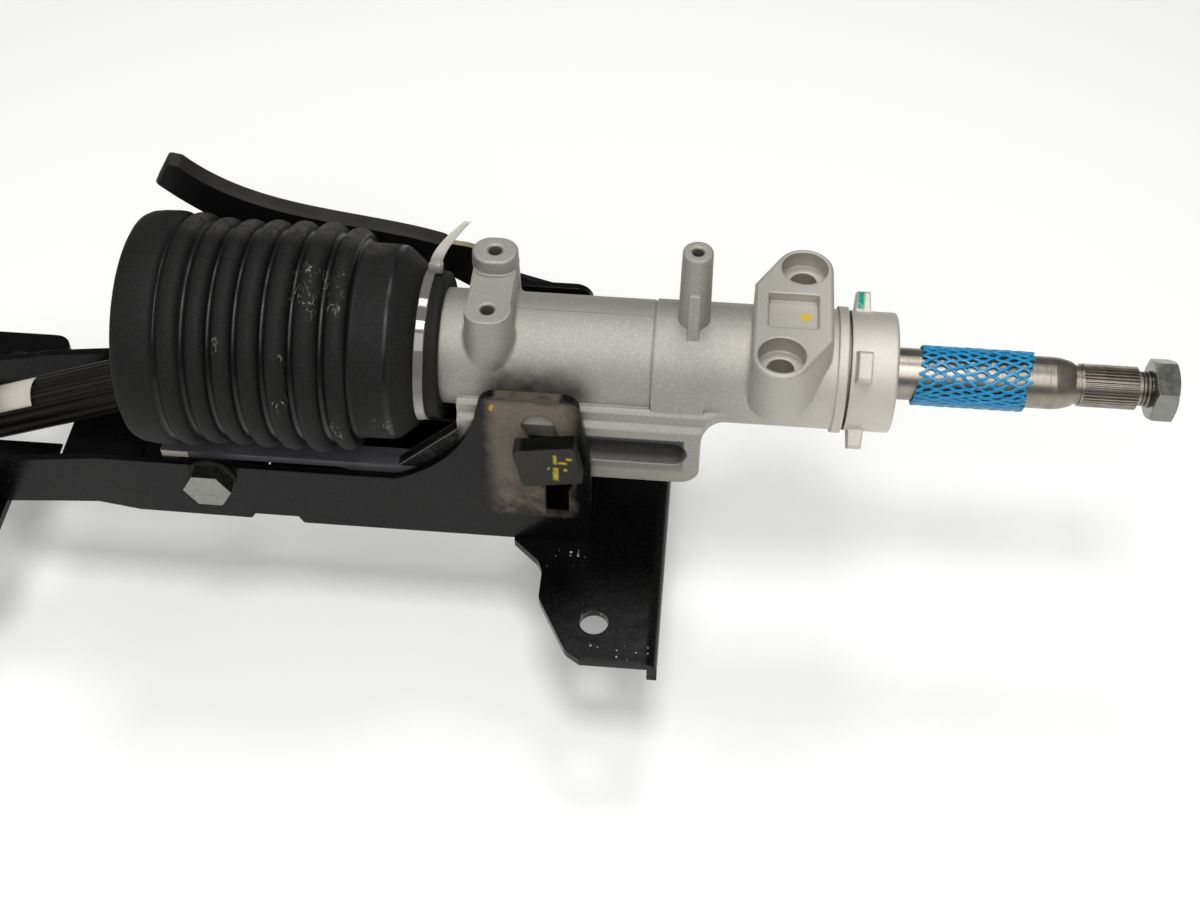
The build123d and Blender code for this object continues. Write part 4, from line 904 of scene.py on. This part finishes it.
for smooth_x in (valleys_x[0], valleys_x[1], shoulder_x):
    smooth_band = near(tree, place, (smooth_x, 0.0, 0.0), (0.0005, 1.0, 1.0), 0.0009)
    in_valley = add(tree, "ShaderNodeMath", {0: in_valley.outputs[0], 1: smooth_band}, operation="MAXIMUM")
bloom = add(tree, "ShaderNodeTexNoise", {
    "Vector": place,
    "Scale": per_mm(18.0),
    "Detail": 6.0,
    "Roughness": 0.7,
})
speckle = add(tree, "ShaderNodeTexNoise", {
    "Vector": place,
    "Scale": per_mm(0.7),
    "Detail": 3.0,
    "Roughness": 0.8,
})
rubber_colour = add(tree, "ShaderNodeMix", {
    "Factor": bloom.outputs[0],
    "A": linear("060606"),
    "B": linear("0E0E0D"),
}, data_type="RGBA").outputs["Result"]
dusty = add(tree, "ShaderNodeMapRange", {"Value": speckle.outputs[0], 1: 0.46, 2: 0.74, 3: 0.0, 4: 0.60})
dry_part = add(tree, "ShaderNodeMath", {0: 1.0, 1: in_valley.outputs[0]}, operation="SUBTRACT")
dust_shown = add(tree, "ShaderNodeMath", {
    0: dusty.outputs[0],
    1: dry_part.outputs[0],
}, operation="MULTIPLY")

# Pale grey along the top of the ridges: dust, and a painted sheen.
crown_area = near(tree, place, (-0.3050, 0.0200, 0.0400), (0.0330, 0.0040, 0.0060), 0.0100)
crown_fine = add(tree, "ShaderNodeTexNoise", {
    "Vector": place,
    "Scale": per_mm(3.0),
    "Detail": 8.0,
    "Roughness": 0.8,
})
crown_thin = add(tree, "ShaderNodeMapRange", {
    "Value": crown_fine.outputs[0],
    1: 0.35,
    2: 0.70,
    3: 0.0,
    4: 0.55,
})
crown_dry = add(tree, "ShaderNodeMath", {
    0: crown_thin.outputs[0],
    1: dry_part.outputs[0],
}, operation="MULTIPLY")
crown_dust_and_sheen = add(tree, "ShaderNodeMath", {
    0: crown_area,
    1: crown_dry.outputs[0],
}, operation="MULTIPLY").outputs[0]

# Chalky scuffs where the ridges have been handled, as the photograph shows.
chalk_space = add(tree, "ShaderNodeMapping", {"Vector": place, "Scale": (1.8, 1.0, 1.0)})
chalk = add(tree, "ShaderNodeTexNoise", {
    "Vector": chalk_space.outputs[0],
    "Scale": per_mm(4.0),
    "Detail": 8.0,
    "Roughness": 0.78,
    "Distortion": 1.5,
})
chalk_mask = add(tree, "ShaderNodeMapRange", {
    "Value": chalk.outputs[0],
    1: 0.565,
    2: 0.64,
    3: 0.0,
    4: 0.85,
})
scuffs = (
    ((-0.2860, -0.0150, 0.0410), (0.0085, 0.0100, 0.0035)),
    ((-0.3226, -0.0335, 0.0277), (0.0005, 0.0014, 0.0016)),
    ((-0.2979, -0.0364, 0.0239), (0.0014, 0.0010, 0.0014)),
    ((-0.2990, -0.0428, 0.0079), (0.0016, 0.0008, 0.0022)),
    ((-0.2801, -0.0428, -0.0040), (0.0026, 0.0010, 0.0060)),
    ((-0.2630, -0.0369, -0.0085), (0.0022, 0.0012, 0.0034)),
)
chalk_area = 0.0
for centre, half_size in scuffs:
    scuff = near(tree, place, centre, half_size, 0.0022)
    chalk_area = add(tree, "ShaderNodeMath", {0: chalk_area, 1: scuff}, operation="MAXIMUM").outputs[0]
chalk_here = add(tree, "ShaderNodeMath", {
    0: chalk_area,
    1: chalk_mask.outputs[0],
}, operation="MULTIPLY").outputs[0]

# Mould parting lines along the lip, the ridges and the shoulder, a hair wide.
parting_runs = (
    ((-0.3525, -0.0053, 0.0455), (0.0078, 0.00020, 0.002)),
    ((-0.3280, -0.0047, 0.0430), (0.0160, 0.00010, 0.005)),
    ((-0.2920, -0.0036, 0.0430), (0.0160, 0.00010, 0.005)),
    ((-0.2670, -0.0027, 0.0378), (0.0078, 0.00020, 0.002)),
)
rubber_layers = [(dust_shown.outputs[0], "2B2A28"), (crown_dust_and_sheen, "6A6863"), (chalk_here, "A19F98")]
for centre, half_size in parting_runs:
    rubber_layers.append((near(tree, place, centre, half_size, 0.00020), "020202"))
for layer, layer_hex in rubber_layers:
    rubber_colour = add(tree, "ShaderNodeMix", {
        "Factor": layer,
        "A": rubber_colour,
        "B": linear(layer_hex),
    }, data_type="RGBA").outputs["Result"]
rubber_dry = add(tree, "ShaderNodeMapRange", {"Value": bloom.outputs[0], 3: 0.62, 4: 0.85})
rubber_rough = add(tree, "ShaderNodeMix", {
    "Factor": in_valley.outputs[0],
    "A": rubber_dry.outputs[0],
    "B": 0.33,
})
rubber_relief = add(tree, "ShaderNodeBump", {
    "Strength": 0.25,
    "Distance": 0.0002,
    "Height": speckle.outputs[0],
})
shader = add(tree, "ShaderNodeBsdfPrincipled", {
    "Base Color": rubber_colour,
    "Roughness": rubber_rough.outputs["Result"],
    "Specular IOR Level": 0.26,
    "Normal": rubber_relief.outputs[0],
})
add(tree, "ShaderNodeOutputMaterial", {"Surface": shader.outputs[0]})


def turned_about_x(line, turns):
    """Points and faces of a closed outline of (x, r) turned about the column axis."""
    points = []
    faces = []
    count = len(line)
    for turn in range(turns):
        angle = 2 * math.pi * turn / turns
        points += [(x, r * math.sin(angle), r * math.cos(angle)) for x, r in line]
        following = (turn + 1) % turns
        for i in range(count):
            j = (i + 1) % count
            faces.append((turn * count + i, following * count + i, following * count + j, turn * count + j))
    return points, faces


boot_points, boot_faces = turned_about_x(boot_line, boot_turns)
bellows = new_piece("rubber_bellows", boot_points, boot_faces, rubber)
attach(bellows, "jacket")
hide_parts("bellows")

# Cable tie: natural nylon strap pulled tight round the neck of the bellows,
# with its moulded head on top and a tapered tail. Clear nylon looks grey over
# the black rubber and milky where the tail stands free.
tie_x = -0.2498
strap_r = 0.0285
strap_width = 0.0037
strap_thick = 0.0012
strap_lean = 0.0008
strap_turns = 360
nylon, tree, place = new_finish("natural_nylon_moulded")
milk = add(tree, "ShaderNodeTexNoise", {"Vector": place, "Scale": per_mm(8.0), "Detail": 3.0})
tie_axes = add(tree, "ShaderNodeSeparateXYZ", {"Vector": place})
tie_spread = add(tree, "ShaderNodeVectorMath", {0: place, 1: (0.0, 1.0, 1.0)}, operation="MULTIPLY")
tie_radius = add(tree, "ShaderNodeVectorMath", {
    0: tie_spread.outputs[0],
}, operation="LENGTH").outputs["Value"]
free_share = add(tree, "ShaderNodeMapRange", {"Value": tie_radius, 1: 0.0304, 2: 0.0380}).outputs[0]
low_share = add(tree, "ShaderNodeMapRange", {
    "Value": tie_axes.outputs[2],
    1: 0.004,
    2: -0.014,
    3: 0.0,
    4: 0.75,
}).outputs[0]
milky_share = add(tree, "ShaderNodeMath", {0: free_share, 1: low_share}, operation="MAXIMUM").outputs[0]
milky = add(tree, "ShaderNodeMix", {
    "Factor": milk.outputs[0],
    "A": linear("BDB8AE"),
    "B": linear("D2CFC6"),
}, data_type="RGBA").outputs["Result"]
nylon_colour = add(tree, "ShaderNodeMix", {
    "Factor": milky_share,
    "A": linear("66625F"),
    "B": milky,
}, data_type="RGBA")
shader = add(tree, "ShaderNodeBsdfPrincipled", {
    "Base Color": nylon_colour.outputs["Result"],
    "Roughness": 0.07,
    "IOR": 1.53,
    "Subsurface Weight": 0.15,
    "Subsurface Radius": (0.002, 0.0018, 0.0015),
})
add(tree, "ShaderNodeOutputMaterial", {"Surface": shader.outputs[0]})
edge = 0.0003
tipped = 0.00022
strap_half = strap_width / 2
strap_line = [
    (tie_x - strap_half, strap_r),
    (tie_x - strap_half, strap_r + strap_thick - edge + tipped),
    (tie_x - strap_half + edge, strap_r + strap_thick + tipped),
    (tie_x + strap_half - edge, strap_r + strap_thick - tipped),
    (tie_x + strap_half, strap_r + strap_thick - edge - tipped),
    (tie_x + strap_half, strap_r),
]
strap_points, strap_faces = turned_about_x(strap_line, strap_turns)
strap_points = [(x + strap_lean * z / strap_r, y, z) for x, y, z in strap_points]
strap = new_piece("tie_strap", strap_points, strap_faces, nylon, smooth=False)
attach(strap, "jacket")
head_angle = math.radians(28.0)
head_up = Vector((0.0, math.sin(head_angle), math.cos(head_angle)))
head_side = Vector((0.0, math.cos(head_angle), -math.sin(head_angle)))
head_shift = 0.0024
head_seat = 0.0003
head_foot = Vector((tie_x + head_shift, 0.0, 0.0)) + head_up * (strap_r + head_seat)


def strip_through(rings, first=0):
    """Points and faces of a closed strip through rings of four points, numbered from first."""
    points = [point for ring in rings for point in ring]
    faces = []
    for low in range(first, first + 4 * (len(rings) - 1), 4):
        faces += [(low + i, low + (i + 1) % 4, low + (i + 1) % 4 + 4, low + i + 4) for i in range(4)]
    last = first + 4 * (len(rings) - 1)
    faces += [(first + 3, first + 2, first + 1, first), (last, last + 1, last + 2, last + 3)]
    return points, faces


def ring_of_four(centre, along, half_along, beside, half_beside):
    """Four corners round a centre."""
    return [centre + along * (a * half_along) + beside * (b * half_beside)
            for a, b in ((-1, -1), (1, -1), (1, 1), (-1, 1))]


def soften(piece, width, segments=2):
    """Round the sharp edges of a piece, applied to its mesh."""
    modifier = piece.modifiers.new("soft_edges", "BEVEL")
    modifier.width = width
    modifier.segments = segments
    modifier.limit_method = "ANGLE"
    bpy.context.view_layer.objects.active = piece
    with bpy.context.temp_override(object=piece, active_object=piece, selected_objects=[piece]):
        bpy.ops.object.modifier_apply(modifier=modifier.name)


x_axis = Vector((1.0, 0.0, 0.0))
head_height = 0.0046
head_foot_half = (0.0031, 0.0030)
head_top_half = 0.0026
head_round = 0.0011
head_round_steps = 4
head_points, head_faces = strip_through((
    ring_of_four(head_foot, x_axis, head_foot_half[0], head_side, head_foot_half[1]),
    ring_of_four(head_foot + head_up * head_height, x_axis, head_top_half, head_side, head_top_half),
))
tie_head = new_piece("tie_head", head_points, head_faces, nylon)
soften(tie_head, head_round, head_round_steps)
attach(tie_head, "jacket")
tail_rise = 0.0172
tail_lean = 0.0122
tail_sunk = 0.001
tail_half_width = 0.0024
tail_half_thick = 0.0006
tail_thinning = 0.0001
tail_taper = 0.45
tail_round = 0.0003
tail_steps = 12
tail_rings = []
for step in range(tail_steps + 1):
    share = step / tail_steps
    lean = tail_lean * share ** 1.5
    centre = head_foot + head_up * (head_height - tail_sunk + tail_rise * share) + x_axis * lean
    half_width = tail_half_width * (1 - tail_taper * share ** 2)
    half_thick = tail_half_thick - tail_thinning * share
    tail_rings.append(ring_of_four(centre, x_axis, half_width, head_side, half_thick))
tail_points, tail_faces = strip_through(tail_rings)
tie_tail = new_piece("tie_tail", tail_points, tail_faces, nylon)
soften(tie_tail, tail_round)
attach(tie_tail, "jacket")
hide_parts("cable_tie")

# Mesh sleeve: extruded polyethylene net slipped over the shaft. Its flat
# strands are fused where they meet, which leaves eyes 7.6 mm long. They are
# pulled open at the front and lie bunched above and below.
net_x0 = -0.0606
net_x1 = -0.0192
net_r = 0.0104
eye_length = 0.0076
strand_count = 72
strand_half_width = 0.00060
strand_thick = 0.0008
strand_round = 0.0002
net_open_at = math.radians(-22.0)
net_stretch = 0.43
net_sag = 0.0003
net_slant = 0.0030
net_snug_at = math.radians(50.0)
net_ragged = 0.0009
net_wobble = 0.05
net_weave = 0.0003
net_wobble_per_metre = 190
net_wobble_lag = 2.0
ragged_turn = 2.4
net_plastic, tree, place = new_finish("blue_polyethylene_extruded")
net_noise = add(tree, "ShaderNodeTexNoise", {"Vector": place, "Scale": per_mm(2.5), "Detail": 3.0})
net_colour = add(tree, "ShaderNodeMix", {
    "Factor": net_noise.outputs[0],
    "A": linear("066A98"),
    "B": linear("1496C8"),
}, data_type="RGBA")
shader = add(tree, "ShaderNodeBsdfPrincipled", {
    "Base Color": net_colour.outputs["Result"],
    "Roughness": 0.32,
    "IOR": 1.51,
    "Subsurface Weight": 0.2,
    "Subsurface Radius": (0.0005, 0.001, 0.002),
})
add(tree, "ShaderNodeOutputMaterial", {"Surface": shader.outputs[0]})
strand_steps = 60
strand_gap = 2 * math.pi / strand_count
net_points = []
net_faces = []
for strand in range(strand_count):
    strand_rings = []
    side = 1 if strand % 2 else -1
    ragged = net_ragged * math.sin(strand // 2 * ragged_turn)
    for step in range(strand_steps + 1):
        x = net_x0 + (net_x1 - net_x0 + ragged) * step / strand_steps
        wave_turn = 2 * math.pi * (x - net_x0) / eye_length
        even_angle = strand_gap * (strand + 0.5 * side * math.cos(wave_turn))
        even_angle += net_wobble * math.sin(net_wobble_per_metre * x + net_wobble_lag * math.sin(even_angle))
        bunch = 2 * (even_angle - net_open_at)
        angle = even_angle + net_stretch * math.sin(bunch)
        spread = 1 + 2 * net_stretch * math.cos(bunch)
        slope = -0.5 * side * strand_gap * math.sin(wave_turn) * 2 * math.pi / eye_length * net_r * spread
        under = (1 - math.cos(angle - net_snug_at)) / 2
        out = Vector((0.0, math.sin(angle), math.cos(angle)))
        round_it = Vector((0.0, math.cos(angle), -math.sin(angle)))
        beside = out.cross((x_axis + round_it * slope).normalized())
        lift = net_r + strand_thick / 2 + net_sag * under
        lift += net_weave * side * math.sin(wave_turn / 2 + strand)
        middle = Vector((x - net_slant * under, 0.0, 0.0)) + out * max(lift, net_r + strand_thick / 2)
        strand_rings.append(ring_of_four(middle, beside, strand_half_width, out, strand_thick / 2))
    strand_points, strand_faces = strip_through(strand_rings, len(net_points))
    net_points += strand_points
    net_faces += strand_faces
net = new_piece("blue_net_sleeve", net_points, net_faces, net_plastic)
soften(net, strand_round)
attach(net, "column_shaft")
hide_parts("mesh_sleeve")

# Blank labels: matte white paper, one stuck on the near rail's end and one
# wrapped round the intermediate tube. They carry no print.
paper_thick = 0.0001
paper, tree, place = new_finish("matte_white_paper")
paper_fibre = add(tree, "ShaderNodeTexNoise", {"Vector": place, "Scale": per_mm(1.2), "Detail": 4.0})
paper_colour = add(tree, "ShaderNodeMix", {
    "Factor": paper_fibre.outputs[0],
    "A": linear("ADA99F"),
    "B": linear("BFBBB1"),
}, data_type="RGBA").outputs["Result"]
shader = add(tree, "ShaderNodeBsdfPrincipled", {"Base Color": paper_colour, "Roughness": 0.8})
add(tree, "ShaderNodeOutputMaterial", {"Surface": shader.outputs[0]})
rail_face_y = -0.02705
y_axis = Vector((0.0, 1.0, 0.0))
z_axis = Vector((0.0, 0.0, 1.0))
label_middle = Vector((-0.3529, rail_face_y - paper_thick, -0.0449))
label_half_length = 0.0054
label_half_height = 0.0016
label_points, label_faces = strip_through([
    ring_of_four(middle, x_axis, label_half_length, z_axis, label_half_height)
    for middle in (label_middle, label_middle + y_axis * paper_thick)
])
rail_label = new_piece("rail_label", label_points, label_faces, paper, smooth=False)
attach(rail_label, "jacket")

joint_place = Vector((-0.2883, 0.0, 0.0))
tube_drop = math.radians(21.3)
tube_run = Vector((-math.cos(tube_drop), 0.0, -math.sin(tube_drop)))
tube_up = Vector((-math.sin(tube_drop), 0.0, math.cos(tube_drop)))
tube_label_r = 0.0111
tube_label_from = 0.1355
tube_label_to = 0.1545
wrap_steps = 16
wrap_from, wrap_to = math.radians(-22.0), math.radians(52.0)
wrap_rings = []
for step in range(wrap_steps + 1):
    angle = wrap_from + (wrap_to - wrap_from) * step / wrap_steps
    out = tube_up * math.cos(angle) - y_axis * math.sin(angle)
    under_side = [joint_place + tube_run * reach + out * tube_label_r
                  for reach in (tube_label_from, tube_label_to)]
    upper_side = [joint_place + tube_run * reach + out * (tube_label_r + paper_thick)
                  for reach in (tube_label_to, tube_label_from)]
    wrap_rings.append(under_side + upper_side)
wrap_points, wrap_faces = strip_through(wrap_rings)
tube_label = new_piece("tube_label", wrap_points, wrap_faces, paper)
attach(tube_label, "intermediate")

# Closing sheets of the bracket's web: thin painted steel in the web's two
# openings and a shelf on the near wall beyond them, all dark in the photograph.
web_thick = 0.0010
web_sheets = (
    ("web_front", (-0.3245, -0.3055), (-0.0268, 0.0268), -0.0795),
    ("web_rear", (-0.4150, -0.3800), (-0.0268, 0.0268), -0.0795),
    ("web_shelf", (-0.4450, -0.4080), (-0.0278, -0.0122), -0.0630),
)
for web_name, (web_from, web_to), (web_near, web_far), web_z in web_sheets:
    web_middle = Vector(((web_from + web_to) / 2, (web_near + web_far) / 2, web_z))
    half_run = (web_to - web_from) / 2
    half_span = (web_far - web_near) / 2
    web_points, web_faces = strip_through([
        ring_of_four(middle, x_axis, half_run, y_axis, half_span)
        for middle in (web_middle, web_middle + z_axis * web_thick)
    ])
    web_sheet = new_piece(web_name, web_points, web_faces, black, smooth=False)
    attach(web_sheet, "bracket")
